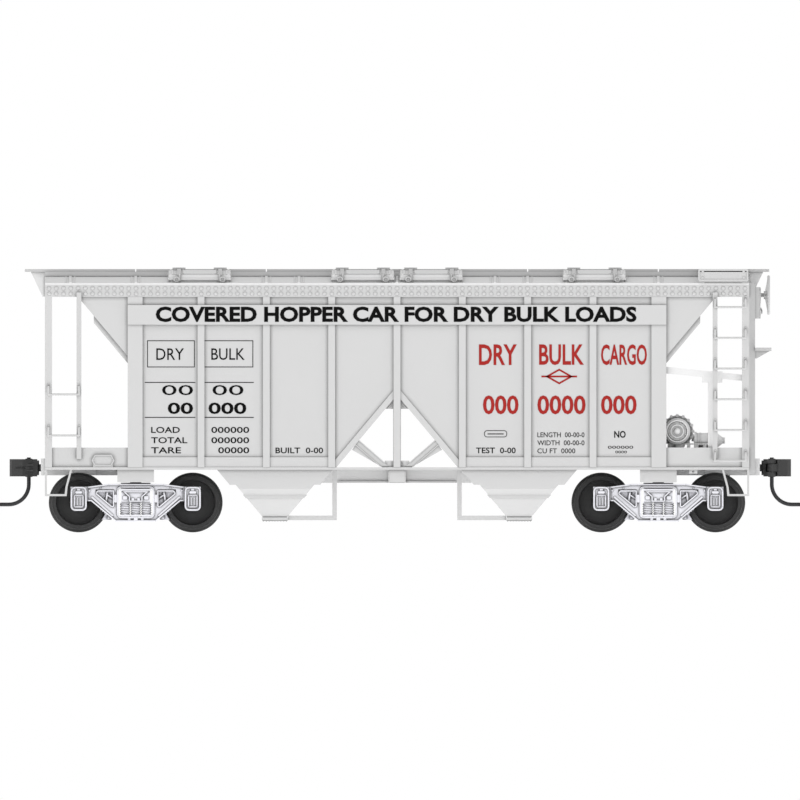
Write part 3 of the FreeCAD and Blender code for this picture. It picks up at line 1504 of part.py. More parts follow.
def make_truck_bolster():
    """Bolster across the truck: centre plate on top, hole for the screw and a recess below for its head."""
    beam = box(
        "truck_beam",
        x=("-truck_bolster_half", "truck_bolster_half"),
        y=(f"-{FRAME_OUT} - 0.2", f"{FRAME_OUT} + 0.2"),
        z=("truck_bolster_low", "truck_bolster_top"),
    )
    plate = rod(
        "truck_centre_plate", "z", "plate_radius", "truck_bolster_top - 0.1", "bolster_low - plate_gap"
    )
    hole = rod(
        "truck_hole", "z", "kingpin_radius + running_gap", "truck_bolster_low - 1", "bolster_low + 1"
    )
    recess = rod(
        "truck_recess", "z", "kingpin_head + 0.15", "truck_bolster_low - 1",
        "truck_bolster_low + kingpin_recess"
    )
    return cut("drilled_bolster", fused("bolster_with_plate", beam, plate), hole, recess)


def make_brake_beam():
    """Brake beam of one axle with its hangers and two shoes hollowed to the wheel tread."""
    beam = box(
        "beam_bar",
        x=("beam_at", "beam_at + beam_thick"),
        y=("-frame_inner", "frame_inner"),
        z=("beam_low", "beam_low + beam_tall"),
    )
    pieces = [beam]
    tread_middle = "((back_to_back + wheel_wide + flange_wide) / 2)"
    for i, sign in enumerate(("-", "")):
        hanger_span = ("frame_inner - 0.8", "frame_inner") if sign == "" else (
            "-frame_inner", "-frame_inner + 0.8"
        )
        pieces.append(
            box(
                f"beam_hanger_{i}",
                x=("beam_at", "beam_at + beam_thick"),
                y=hanger_span,
                z=("beam_low", "shoe_top"),
            )
        )
        middle = f"({sign}{tread_middle})"
        blank = box(
            f"shoe_blank_{i}",
            x=("beam_at", "beam_at + 2"),
            y=(f"{middle} - shoe_wide / 2", f"{middle} + shoe_wide / 2"),
            z=("beam_low - 0.15", "shoe_top"),
        )
        tread = rod(
            f"shoe_tread_{i}",
            "y",
            "tread_radius + shoe_gap",
            f"{middle} - shoe_wide",
            f"{middle} + shoe_wide",
            x=AXLE_X,
            z=AXLE_Z,
        )
        pieces.append(cut(f"shoe_{i}", blank, tread))
    return fused("brake_beam", *pieces)


def make_truck_screw():
    head_top = "(truck_bolster_low + kingpin_recess - running_gap)"
    head = rod("truck_screw_head", "z", "kingpin_head", f"{head_top} - head_tall", head_top, x=TRUCK_AT)
    shank = rod("truck_screw_shank", "z", "kingpin_radius", head_top, "kingpin_top", x=TRUCK_AT)
    return fused("truck_screw", head, shank)


truck_screw = make_truck_screw()
node(group("truck_screws", truck_screw, opposite("truck_screw_a", truck_screw)))

side_frame = make_side_frame()
side_frames = group("side_frames", side_frame, mirror("side_frame_right", side_frame, V(0, 1, 0)))
truck_bolster = make_truck_bolster()
brake_beam = make_brake_beam()
brake_beams = group("brake_beams", brake_beam, mirror("brake_beam_far", brake_beam, V(1, 0, 0)))


def make_axle():
    """Axle with journals turned down at both ends, along Y."""
    shoulder = "(frame_inner - 0.25)"
    outline = [
        ("0.0", "-axle_half"),
        ("journal_radius", "-axle_half"),
        ("journal_radius", f"-{shoulder}"),
        ("axle_radius", f"-{shoulder}"),
        ("axle_radius", shoulder),
        ("journal_radius", shoulder),
        ("journal_radius", "axle_half"),
        ("0.0", "axle_half"),
    ]
    return turned("axle", "XY", "V", outline)


def make_wheel():
    """Wheel of the right side about the Y axis: flange inboard, coned tread, thin web and hub."""
    back = "(back_to_back / 2)"
    front = f"({back} + wheel_wide)"
    web_out = f"({back} + 0.35 + web_thick)"
    rim_in = "(tread_radius - rim_thick)"
    outline = [
        ("axle_radius", back),
        ("hub_boss", back),
        ("hub_boss + 0.3", f"{back} + 0.35"),
        (f"{rim_in} - 0.3", f"{back} + 0.35"),
        (rim_in, back),
        ("flange_radius - 0.12", back),
        ("flange_radius", f"{back} + 0.3 * flange_wide"),
        ("flange_radius - 0.1", f"{back} + 0.6 * flange_wide"),
        ("tread_radius", f"{back} + flange_wide"),
        ("tread_radius - 0.08", front),
        (rim_in, front),
        (f"{rim_in} - 0.25", web_out),
        ("hub_boss + 0.4", web_out),
        ("hub_boss", f"{front} + 0.25"),
        ("axle_radius", f"{front} + 0.25"),
    ]
    return turned("wheel", "XY", "V", outline)


axle = make_axle()
wheel = make_wheel()
wheel_pair = group("wheel_pair", wheel, mirror("wheel_left", wheel, V(0, 1, 0)))
for letter, place in (("a", f"-{TRUCK_AT}"), ("b", TRUCK_AT)):
    node(copy_of(f"truck_{letter}_sideframes", side_frames, x=place))
    node(copy_of(f"truck_{letter}_bolster", truck_bolster, x=place))
    node(copy_of(f"truck_{letter}_brake_beams", brake_beams, x=place))
AXLES = [
    f"-{TRUCK_AT} - {AXLE_X}",
    f"-{TRUCK_AT} + {AXLE_X}",
    f"{TRUCK_AT} - {AXLE_X}",
    f"{TRUCK_AT} + {AXLE_X}",
]
for i, place in enumerate(AXLES, start=1):
    node(copy_of(f"axle_{i}", axle, x=place, z=AXLE_Z))
    node(copy_of(f"wheels_{i}", wheel_pair, x=place, z=AXLE_Z))

# ---- couplers ------------------------------------------------------------------------------------

CAVITY = "(shank_tall / 2 + draft_play)"
B_MOUTH = "(draft_front + b_end_step)"
COLLAR = "(pivot_back + neck_out)"
PULL_FACE = f"({COLLAR} + head_long)"
PIN_X = f"({COLLAR} + knuckle_pin_out)"
PIN_Y = "-knuckle_pin_side"


def make_coupler_box():
    """Box of the B end, open in front and below, with the pivot post standing down in it."""
    roof_low = f"coupler_high + {CAVITY}"
    block = box(
        "box_block", x=(B_BOX_IN, B_MOUTH), y=("-draft_half", "draft_half"),
        z=(f"coupler_high - {CAVITY}", BOX_TOP)
    )
    room = box(
        "box_room",
        x=(f"{B_BOX_IN} + draft_wall", f"{B_MOUTH} + 1"),
        y=("-draft_half + draft_wall", "draft_half - draft_wall"),
        z=(f"coupler_high - {CAVITY} - 1", roof_low),
    )
    post = rod(
        "box_pivot", "z", "pivot_radius", f"coupler_high - {CAVITY}", f"{roof_low} + 0.2", x=B_PIVOT
    )
    bore = rod("box_bore", "z", "screw_radius", "draft_low - 1", f"{BOX_TOP} + 1", x=B_PIVOT)
    return cut("coupler_box_b", fused("box_with_post", cut("box_shell", block, room), post), bore)


def make_coupler_lid():
    """Lid below the B end's coupler box."""
    plate = box(
        "lid_plate", x=(B_BOX_IN, B_MOUTH), y=("-draft_half", "draft_half"),
        z=("draft_low", f"coupler_high - {CAVITY}")
    )
    bore = rod("lid_bore", "z", "screw_radius", "draft_low - 1", "coupler_high", x=B_PIVOT)
    return cut("coupler_lid_b", plate, bore)


def at_a_end(name, piece):
    """A piece of the B end's coupler, at the A end."""
    return copy_of(name, piece, 180.0, x="b_end_step")


box_b = make_coupler_box()
lid_b = make_coupler_lid()
screw_b = fused(
    "coupler_screw_b",
    rod("screw_shank", "z", "screw_radius", "draft_low", f"{SILL_ROOF} - 0.2", x=B_PIVOT),
    rod("screw_top", "z", "screw_head", "draft_low - screw_head_tall", "draft_low", x=B_PIVOT),
)
node(group("coupler_boxes", box_b, at_a_end("coupler_box_a", box_b)))
node(group("coupler_box_lids", lid_b, at_a_end("coupler_lid_a", lid_b)))
node(group("coupler_screws", screw_b, at_a_end("coupler_screw_a", screw_b)))


def make_coupler():
    """Shank, collar and head about the pivot, pointing along +X; the knuckle's ears are on the -Y side."""
    middle = ("-shank_tall / 2", "shank_tall / 2")
    ring = rod("shank_ring", "z", "pivot_radius + running_gap + eye_wall", *middle)
    shank = box(
        "shank_bar", x=("0.0", f"{COLLAR} + 0.3"), y=("-shank_wide / 2", "shank_wide / 2"), z=middle
    )
    bore = rod("shank_bore", "z", "pivot_radius + running_gap", "-shank_tall", "shank_tall")
    collar = prism(
        "shank_collar",
        "XY",
        [
            (COLLAR, "-shank_wide / 2"),
            (f"{COLLAR} + 0.25", "-collar_half"),
            (f"{COLLAR} + collar_long", "-collar_half"),
            (f"{COLLAR} + collar_long", "collar_half"),
            (f"{COLLAR} + 0.25", "collar_half"),
            (COLLAR, "shank_wide / 2"),
        ],
        "-collar_tall / 2",
        "collar_tall / 2",
    )
    head = prism(
        "head_block",
        "XY",
        [
            (f"{COLLAR} + 0.5 * collar_long", "-collar_half"),
            (f"{PIN_X} - 0.75", f"{PIN_Y} - lug_radius"),
            (PIN_X, f"{PIN_Y} - lug_radius"),
            (f"{PIN_X} + 0.75 * lug_radius", f"{PIN_Y} - 0.6 * lug_radius"),
            (f"{PIN_X} + lug_radius", PIN_Y),
            (f"{PIN_X} + 0.75 * lug_radius", f"{PIN_Y} + 1.9 * lug_radius"),
            (f"{PIN_X} + 1.5", "collar_half"),
            (f"{PULL_FACE} - 0.5", "jaw_half - 0.6"),
            (f"{PULL_FACE} - 0.5", "jaw_half"),
            (f"{PIN_X} + 1.1", "jaw_half"),
            (f"{PIN_X} - 0.75", "collar_half + 0.1"),
            (f"{COLLAR} + 0.5 * collar_long", "collar_half"),
        ],
        "-coupler_tall / 2",
        "coupler_tall / 2",
    )
    slot = box(
        "head_slot",
        x=(f"{PIN_X} - lug_radius - face_gap", f"{PIN_X} + 2"),
        y=(f"{PIN_Y} - 2", f"{PIN_Y} + lug_radius + face_gap + 0.05"),
        z=("-lug_tall / 2 - face_gap", "lug_tall / 2 + face_gap"),
    )
    pin_hole = rod(
        "head_pin_hole", "z", "pin_radius + running_gap", "-coupler_tall", "coupler_tall", x=PIN_X,
        y=PIN_Y
    )
    whole = fused("coupler_solid", ring, shank, collar, head)
    return cut("coupler_at_pivot", whole, bore, slot, pin_hole)


def make_knuckle():
    """Knuckle in its closed place in the head's frame: lug and neck in the slot, hooked nose in front."""
    half_lug = ("-lug_tall / 2", "lug_tall / 2")
    lug = rod("knuckle_lug", "z", "lug_radius", *half_lug, x=PIN_X, y=PIN_Y)
    neck = box(
        "knuckle_neck",
        x=(PIN_X, f"{PIN_X} + lug_radius + 0.3"),
        y=(f"{PIN_Y} - 0.85 * lug_radius", f"{PIN_Y} + 0.3 * lug_radius"),
        z=half_lug,
    )
    root = f"({PIN_X} + lug_radius + 0.15)"
    nose = prism(
        "knuckle_nose",
        "XY",
        [
            (root, f"{PIN_Y} - lug_radius"),
            (f"{PULL_FACE} - 0.6", f"{PIN_Y} - 1.1 * lug_radius"),
            (PULL_FACE, f"{PIN_Y} - 0.45 * lug_radius"),
            (PULL_FACE, f"{PIN_Y} + lug_radius"),
            (f"{PULL_FACE} - 0.45", f"{PIN_Y} + 1.75 * lug_radius"),
            (f"{PULL_FACE} - 1.1", f"{PIN_Y} + 1.7 * lug_radius"),
            (f"{PULL_FACE} - 1.25", f"{PIN_Y} + 0.7 * lug_radius"),
            (root, f"{PIN_Y} + 0.35 * lug_radius"),
        ],
        "-coupler_tall / 2",
        "coupler_tall / 2",
    )
    bore = rod("knuckle_bore", "z", "pin_radius", "-coupler_tall", "coupler_tall", x=PIN_X, y=PIN_Y)
    return cut("knuckle_at_pivot", fused("knuckle_solid", lug, neck, nose), bore)


def make_trip_pin():
    """Steel pin pressed through the knuckle's lug, bent forward below the coupler."""
    bend_z = "(trip_bend - trip_drop)"
    tail = rod("trip_tail", "z", "pin_radius", bend_z, "coupler_tall / 2 + 0.3", x=PIN_X, y=PIN_Y)
    bend = doc.addObject("Part::Torus", "trip_bend_ring")
    bend.Angle3 = 90
    bend.Placement = FreeCAD.Placement(
        V(), FreeCAD.Rotation(V(-1, 0, 0), V(0, 0, -1), V(0, -1, 0), "ZXY")
    )
    bend.setExpression("Radius1", bound("trip_bend"))
    bend.setExpression("Radius2", bound("pin_radius"))
    for letter, text in {"x": f"{PIN_X} + trip_bend", "y": PIN_Y, "z": bend_z}.items():
        bend.setExpression(f"Placement.Base.{letter}", bound(text))
    foot = rod(
        "trip_foot", "x", "pin_radius", f"{PIN_X} + trip_bend", f"{PIN_X} + trip_reach", y=PIN_Y,
        z="-trip_drop"
    )
    return fused("trip_pin_at_pivot", tail, bend, foot)


for kind, piece in (
    ("coupler", make_coupler()), ("knuckle", make_knuckle()), ("trip_pin", make_trip_pin())
):
    node(copy_of(f"{kind}_b", piece, x=B_PIVOT, z="coupler_high"))
    node(copy_of(f"{kind}_a", piece, 180.0, x=f"b_end_step - {B_PIVOT}", z="coupler_high"))


def write_parts():
    doc.recompute()
    broken = [o.Name for o in doc.Objects if {"Invalid", "Error"} & set(o.State)]
    if broken:
        raise SystemExit(f"these objects failed: {broken}")
    os.makedirs("parts", exist_ok=True)
    for piece in NODES:
        shape = Part.getShape(piece)
        if shape.isNull() or not shape.isValid() or not shape.Solids:
            raise SystemExit(f"{piece.Label} has no valid solid")
        shape.exportStep(f"parts/{piece.Label}.step")
        print(piece.Label, len(shape.Solids), round(shape.Volume, 2))


write_parts()
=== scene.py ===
"""Looks of the HO scale covered hopper car: finishes, fine moulded detail, light and camera."""
import bmesh
import bpy
import json
import math
from mathutils import Matrix, Vector


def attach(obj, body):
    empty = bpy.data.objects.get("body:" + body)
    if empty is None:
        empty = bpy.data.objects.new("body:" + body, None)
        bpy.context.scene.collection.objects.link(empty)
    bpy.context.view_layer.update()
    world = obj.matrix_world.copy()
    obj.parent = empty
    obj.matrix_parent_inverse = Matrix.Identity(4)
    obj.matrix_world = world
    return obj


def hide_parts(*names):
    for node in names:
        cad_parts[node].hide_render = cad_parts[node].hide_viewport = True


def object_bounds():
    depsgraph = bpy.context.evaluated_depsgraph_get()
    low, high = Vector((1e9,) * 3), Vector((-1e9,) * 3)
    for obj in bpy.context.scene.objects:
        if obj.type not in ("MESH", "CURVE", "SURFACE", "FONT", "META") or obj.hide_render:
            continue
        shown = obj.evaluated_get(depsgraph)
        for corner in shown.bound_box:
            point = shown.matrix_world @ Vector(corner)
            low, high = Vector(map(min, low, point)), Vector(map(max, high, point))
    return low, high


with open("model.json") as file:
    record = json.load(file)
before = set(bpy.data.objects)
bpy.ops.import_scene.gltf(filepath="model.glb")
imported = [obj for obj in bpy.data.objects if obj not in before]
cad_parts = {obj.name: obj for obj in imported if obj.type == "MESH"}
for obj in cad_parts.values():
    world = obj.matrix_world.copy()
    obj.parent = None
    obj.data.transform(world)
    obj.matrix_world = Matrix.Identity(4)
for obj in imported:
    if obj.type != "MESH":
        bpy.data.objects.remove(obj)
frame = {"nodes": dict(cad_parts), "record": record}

cad_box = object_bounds()
MM = 0.001
# Places on the car in millimetres: X toward the hand brake, faces counted out from the middle plane.
HALF_LENGTH = 61.45
CHORD_FACE = 16.9
SHEET_FACE = 16.5
BOARD_FACE = 17.2
WALK_LOW, WALK_TOP = 45.45, 45.95
RIDGE_TOP = 44.86
EAVE_TOP = 43.5
EAVE_Y = 16.9
HATCHES_AT = (-34.45, -5.97, 5.97, 34.45)
TANK_X, TANK_Z = 48.9, 17.65
CYLINDER_Y, CYLINDER_Z = -10.5, 16.05
TRUCK_AT = 45.6
HALF_WHEELBASE = 9.95
AXLE_Z = 5.22
COUPLER_Z = 11.27


# ---- finishes ------------------------------------------------------------------------------------

def linear(colour):
    """The linear colour of an sRGB hex value."""
    parts = [int(colour[i:i + 2], 16) / 255 for i in (1, 3, 5)]
    return (*[p / 12.92 if p <= 0.04045 else ((p + 0.055) / 1.055) ** 2.4 for p in parts], 1.0)


def add(owner, kind, links=(), **settings):
    """Adds a node with its settings to a material or world, and links (socket, node, output) into it."""
    tree = owner.node_tree
    made = tree.nodes.new(kind)
    for name, value in settings.items():
        if hasattr(made, name):
            setattr(made, name, value)
        else:
            made.inputs[name.replace("_", " ")].default_value = value
    for socket, source, output in links:
        tree.links.new(source.outputs[output], made.inputs[socket])
    return made


def finish(
    name, base, roughness, ior=1.5, metallic=0.0, mottle=0.0, mottle_mm=6.0, grain_mm=0.12, bump=0.02,
    shade=0.0, shade_mm=0.7, shade_from=0.35, glow=0.0,
):
    """A finish: colour that drifts over mottle_mm, a grain of grain_mm and painted shade that darkens its
    corners.
    """
    material = bpy.data.materials.new(name)
    material.use_nodes = True
    material.node_tree.nodes.clear()
    light = linear(base)
    dark = (*[c * (1 - mottle) for c in light[:3]], 1.0)
    place = add(material, "ShaderNodeTexCoord")
    cloud = add(
        material, "ShaderNodeTexNoise", [("Vector", place, "Object")], Scale=1 / (mottle_mm * MM),
        Detail=3.0
    )
    grain = add(
        material, "ShaderNodeTexNoise", [("Vector", place, "Object")], Scale=1 / (grain_mm * MM), Detail=2.0
    )
    colour = add(material, "ShaderNodeMix", [("Factor", cloud, "Fac")], data_type="RGBA", A=light, B=dark)
    # Painted shade: occlusion within shade_mm darkens the base colour by up to shade.
    corner = add(material, "ShaderNodeAmbientOcclusion", samples=8, Distance=shade_mm * MM)
    depth = add(
        material, "ShaderNodeMapRange", [("Value", corner, "AO")], From_Min=shade_from, To_Min=1 - shade
    )
    painted_crease_shade = add(
        material, "ShaderNodeMix", [("A", colour, "Result"), ("B", depth, "Result")],
        data_type="RGBA", blend_type="MULTIPLY", Factor=1.0,
    )
    height = add(material, "ShaderNodeBump", [("Height", grain, "Fac")], Strength=bump, Distance=0.05 * MM)
    rough = add(
        material, "ShaderNodeMapRange", [("Value", cloud, "Fac")], To_Min=roughness - 0.06,
        To_Max=roughness + 0.06
    )
    surface = add(
        material,
        "ShaderNodeBsdfPrincipled",
        [("Base Color", painted_crease_shade, "Result"), ("Roughness", rough, "Result"), ("Normal", height, "Normal")],
        Metallic=metallic,
        IOR=ior,
        Emission_Color=(1, 1, 1, 1),
        Emission_Strength=glow,
    )
    add(material, "ShaderNodeOutputMaterial", [("Surface", surface, "BSDF")])
    return material


# Injection-moulded polystyrene: even light grey, satin; painted shade darkens its corners.
STYRENE = finish("grey_polystyrene_moulded", "#CCCCCC", 0.5, ior=1.59, mottle=0.03, shade=0.6)
# Moulded acetal of the thin parts: softer and a touch darker than the body, so that wires stand off it;
# painted shade darkens its corners.
ACETAL = finish("grey_acetal_moulded", "#CACACA", 0.45, ior=1.48, mottle=0.04, shade=0.4, shade_mm=0.5)
# The body's polystyrene with painted light: a paler copy on the roof and under the car, so that sheltered
# faces stay light; a little painted shade in its corners.
STYRENE_PAINTED_LIGHT = finish(
    "polystyrene_painted_light", "#E2E2E2", 0.5, ior=1.59, mottle=0.03, shade=0.3, shade_mm=0.5
)
# The thin parts' acetal with painted light: a paler copy on the air brake and the walk's brackets, paler
# than the wires; painted shade in its corners draws its ribs.
ACETAL_PAINTED_LIGHT = finish(
    "acetal_painted_light", "#EAEAEA", 0.45, ior=1.48, mottle=0.04, shade=0.6, shade_mm=0.5
)
# Pale acetal of the trucks, cooler than the body, with painted shade in the corners that draws every rib.
PALE_ACETAL = finish(
    "pale_acetal_moulded", "#ECECF2", 0.42, ior=1.48, mottle=0.05, shade=0.9, shade_mm=0.5, shade_from=0.55,
)
# Turned wheel metal, blackened in a bath: charcoal with a fine grain from the tool and a little painted
# shade in its corners.
BLACK_WHEEL = finish(
    "blackened_wheel_metal_turned", "#424242", 0.8, ior=1.3, mottle=0.18, mottle_mm=1.2,
    grain_mm=0.08, bump=0.06, shade=0.15,
)
# Die-cast zinc, chemically blackened: matte charcoal with a cast grain and painted shade in its corners.
BLACK_ZINC = finish(
    "blackened_zinc_cast", "#3C3C3C", 0.6, metallic=0.15, mottle=0.15, mottle_mm=1.5, bump=0.06, shade=0.6,
)
# Drawn steel wire and screws, blackened.
BLACK_STEEL = finish("blackened_steel_drawn", "#38383A", 0.4, metallic=0.6, mottle=0.1)
# Sheared sheet steel of the ballast, bare metal with a rolled sheen.
SHEET_STEEL = finish("sheet_steel_sheared", "#8C8C8E", 0.4, metallic=1.0, mottle=0.2)

BY_SLOT = {
    "body_plastic": STYRENE,
    "detail_plastic": ACETAL,
    "truck_plastic": PALE_ACETAL,
    "ballast_steel": SHEET_STEEL,
    "screw_steel": BLACK_STEEL,
    "coupler_metal": BLACK_ZINC,
    "pin_steel": BLACK_STEEL,
    "axle_metal": BLACK_WHEEL,
    "wheel_metal": BLACK_WHEEL,
}
slot_of = {row["node"]: row["material_slot"] for row in frame["record"]["subparts"]}
# Parts given a paler copy of their finish: painted light, so that sheltered faces stay light.
PAINTED_LIGHT_FINISH = {
    **dict.fromkeys(
        ("roof", "roof_hatches", "centre_sill", "coupler_boxes", "coupler_box_lids"), STYRENE_PAINTED_LIGHT
    ),
    **dict.fromkeys(("air_reservoir", "brake_cylinder", "control_valve", "brake_lever_stand"), ACETAL_PAINTED_LIGHT),
    "roof_walk_brackets": ACETAL_PAINTED_LIGHT,
}
for name, node in frame["nodes"].items():
    node.data.materials.clear()
    node.data.materials.append(PAINTED_LIGHT_FINISH.get(name, BY_SLOT[slot_of[name]]))
    soft_edge = node.modifiers.new("soft_edge", "BEVEL")
    soft_edge.width = 0.06 * MM
    soft_edge.segments = 2
    soft_edge.limit_method = "ANGLE"
    soft_edge.angle_limit = math.radians(40)


# ---- making pieces -------------------------------------------------------------------------------

def piece(name, shape, body, material, edge=0.0):
    """A finished piece from a bmesh in millimetres, riding on a body; edge rounds its corners."""
    bmesh.ops.recalc_face_normals(shape, faces=shape.faces)
    bmesh.ops.scale(shape, vec=(MM, MM, MM), verts=shape.verts)
    mesh = bpy.data.meshes.new(name)
    shape.to_mesh(mesh)
    shape.free()
    mesh.materials.append(material)
    made = bpy.data.objects.new(name, mesh)
    bpy.context.scene.collection.objects.link(made)
    if edge:
        soft = made.modifiers.new("soft_edge", "BEVEL")
        soft.width = edge * MM
        soft.segments = 2
        soft.limit_method = "ANGLE"
    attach(made, body)
    return made


def slab(shape, outline, low, high, to_world):
    """A flat plate: an outline of (a, b) points between two depths; to_world places (a, b, depth)."""
    rings = [[shape.verts.new(to_world(a, b, depth)) for a, b in outline] for depth in (low, high)]
    shape.faces.new(rings[0])
    shape.faces.new(reversed(rings[1]))
    for k in range(len(outline)):
        shape.faces.new((rings[0][k], rings[0][k - 1], rings[1][k - 1], rings[1][k]))


def on_side(side, middle=0.0):
    """Places (x, z, depth out from y = 0) on one side of the car, x counted from middle."""
    return lambda x, z, depth: Vector((middle + x, side * depth, z))


def lying(x, y, height):
    """Places (x, y, depth up from the rail)."""
    return Vector((x, y, height))


def oblong(a_low, a_high, b_low, b_high, clip=0.0):
    """A rectangle's outline, its corners clipped."""
    if not clip:
        return [(a_low, b_low), (a_high, b_low), (a_high, b_high), (a_low, b_high)]
    return [
        (a_low + clip, b_low), (a_high - clip, b_low), (a_high, b_low + clip), (a_high, b_high - clip),
        (a_high - clip, b_high), (a_low + clip, b_high), (a_low, b_high - clip), (a_low, b_low + clip),
    ]


def circle(radius, sides, a=0.0, b=0.0):
    """A circle's outline round (a, b)."""
    turns = [math.tau * k / sides for k in range(sides)]
    return [(a + radius * math.cos(turn), b + radius * math.sin(turn)) for turn in turns]


def ridge(shape, outline, wide, low, high, to_world):
    """A raised strip of a width inside a closed outline, or outside it where wide is negative."""
    points = [Vector(p) for p in outline]
    area = sum(p.x * q.y - q.x * p.y for p, q in zip(points, points[1:] + points[:1]))
    turn = 1 if area > 0 else -1
    inner = []
    for before, here, after in zip(points[-1:] + points[:-1], points, points[1:] + points[:1]):
        normals = [
            Vector((-(q - p).y, (q - p).x)).normalized() * turn for p, q in ((before, here), (here, after))
        ]
        middle = (normals[0] + normals[1]).normalized()
        inner.append(here + middle * wide / max(0.35, middle.dot(normals[0])))
    for k in range(len(points)):
        corners = [points[k - 1], points[k], inner[k], inner[k - 1]]
        slab(shape, [(p.x, p.y) for p in corners], low, high, to_world)


def round_bar(shape, route, radius, sides=8, closed=False):
    """A round bar along a route of points."""
    route = [Vector(p) for p in route]
    rings = []
    for k, here in enumerate(route):
        ahead = route[(k + 1) % len(route)] if closed else route[min(k + 1, len(route) - 1)]
        behind = route[k - 1] if closed or k else route[0]
        along = (ahead - behind).normalized()
        across = along.cross(Vector((0.31, 0.22, 0.92))).normalized()
        up = along.cross(across)
        angles = [math.tau * i / sides for i in range(sides)]
        rings.append(
            [shape.verts.new(here + (across * math.cos(a) + up * math.sin(a)) * radius) for a in angles]
        )
    pairs = list(zip(rings, rings[1:])) + ([(rings[-1], rings[0])] if closed else [])
    for first, second in pairs:
        for i in range(sides):
            shape.faces.new((first[i], first[i - 1], second[i - 1], second[i]))
    if not closed:
        shape.faces.new(rings[0])
        shape.faces.new(reversed(rings[-1]))


def dome(shape, centre, out, radius, height, sides=10):
    """A rivet or bolt head with its foot at centre, standing out along a direction."""
    centre, out = Vector(centre), Vector(out).normalized()
    across = out.orthogonal().normalized()
    up = out.cross(across)
    rings = []
    for share, rise in ((1.0, 0.0), (0.85, 0.55), (0.45, 0.92)):
        angles = [math.tau * i / sides for i in range(sides)]
        rings.append([
            shape.verts.new(
                centre + (across * math.cos(a) + up * math.sin(a)) * radius * share + out * height * rise
            )
            for a in angles
        ])
    tip = shape.verts.new(centre + out * height)
    for low, high in zip(rings, rings[1:]):
        for i in range(sides):
            shape.faces.new((low[i], low[i - 1], high[i - 1], high[i]))
    for i in range(sides):
        shape.faces.new((rings[-1][i], rings[-1][i - 1], tip))


# ---- body ----------------------------------------------------------------------------------------

def chord_rivets():
    """Two rows of rivets along the top chord of both sides."""
    shape = bmesh.new()
    pitch = 1.265
    for side in (-1, 1):
        for height in (41.65, 42.60):
            for i in range(-48, 49):
                dome(shape, (i * pitch, side * CHORD_FACE, height), (0, side, 0), 0.36, 0.2)
    piece("chord_rivets", shape, "car_body", STYRENE)


chord_rivets()


def roof_height(y):
    """Height of the roof's sheets at a distance from the ridge."""
    return RIDGE_TOP - (RIDGE_TOP - EAVE_TOP) * abs(y) / EAVE_Y


def roof_seams():
    """Low battens over the joints of the roof sheets, between the hatches."""
    shape = bmesh.new()
    inner, thick = 3.0, 0.16
    for side in (-1, 1):
        for x in (-57.0, -45.6, -22.8, -17.1, 0.0, 17.1, 22.8, 45.6, 57.0):
            under_cross_walk = side * x < -52
            if under_cross_walk:
                continue
            outline = [
                (inner, roof_height(inner)), (EAVE_Y, EAVE_TOP),
                (EAVE_Y, EAVE_TOP + thick), (inner, roof_height(inner) + thick),
            ]
            slab(shape, outline, x - 0.25, x + 0.25, lambda y, z, depth: Vector((depth, side * y, z)))
            for k in range(9):
                y = 4.0 + k * 1.5
                for step in (-0.75, 0.75):
                    dome(shape, (x + step, side * y, roof_height(y)), (0, 0, 1), 0.22, 0.12, sides=8)
    piece("roof_seams", shape, "car_body", STYRENE_PAINTED_LIGHT, edge=0.04)


roof_seams()


def grating(shape, x_low, x_high, y_low, y_high, low, high, pitch=1.05):
    """Open grating: a frame, bars along x and lower ties across them."""
    edge = 0.3
    for y in (y_low + edge / 2, y_high - edge / 2):
        slab(shape, oblong(x_low, x_high, y - edge / 2, y + edge / 2), low, high, lying)
    for x in (x_low, x_high - edge):
        slab(shape, oblong(x, x + edge, y_low + edge, y_high - edge), low, high - 0.02, lying)
    bars = max(2, round((y_high - y_low) / 0.62))
    for k in range(1, bars):
        y = y_low + k * (y_high - y_low) / bars
        slab(shape, oblong(x_low + edge, x_high - edge, y - 0.09, y + 0.09), low + 0.08, high - 0.04, lying)
    ties = round((x_high - x_low) / pitch)
    for k in range(1, ties):
        x = x_low + k * (x_high - x_low) / ties
        slab(shape, oblong(x - 0.12, x + 0.12, y_low + edge, y_high - edge), low + 0.02, high - 0.1, lying)


def roof_walk():
    """The running board: five lengths of grating between two side strips."""
    shape = bmesh.new()
    for start, stop in ((-64.95, -45.7), (-45.5, -22.9), (-22.7, 22.7), (22.9, 45.5), (45.7, 64.95)):
        grating(shape, start, stop, -2.9, 2.9, WALK_LOW, WALK_TOP)
    for side in (-1, 1):
        slab(shape, oblong(-HALF_LENGTH, HALF_LENGTH, 44.7, 45.5), 2.92, 3.04, on_side(side))
    walk_piece = piece("roof_walk_grating", shape, "car_body", ACETAL)
    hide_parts("roof_walk")


roof_walk()


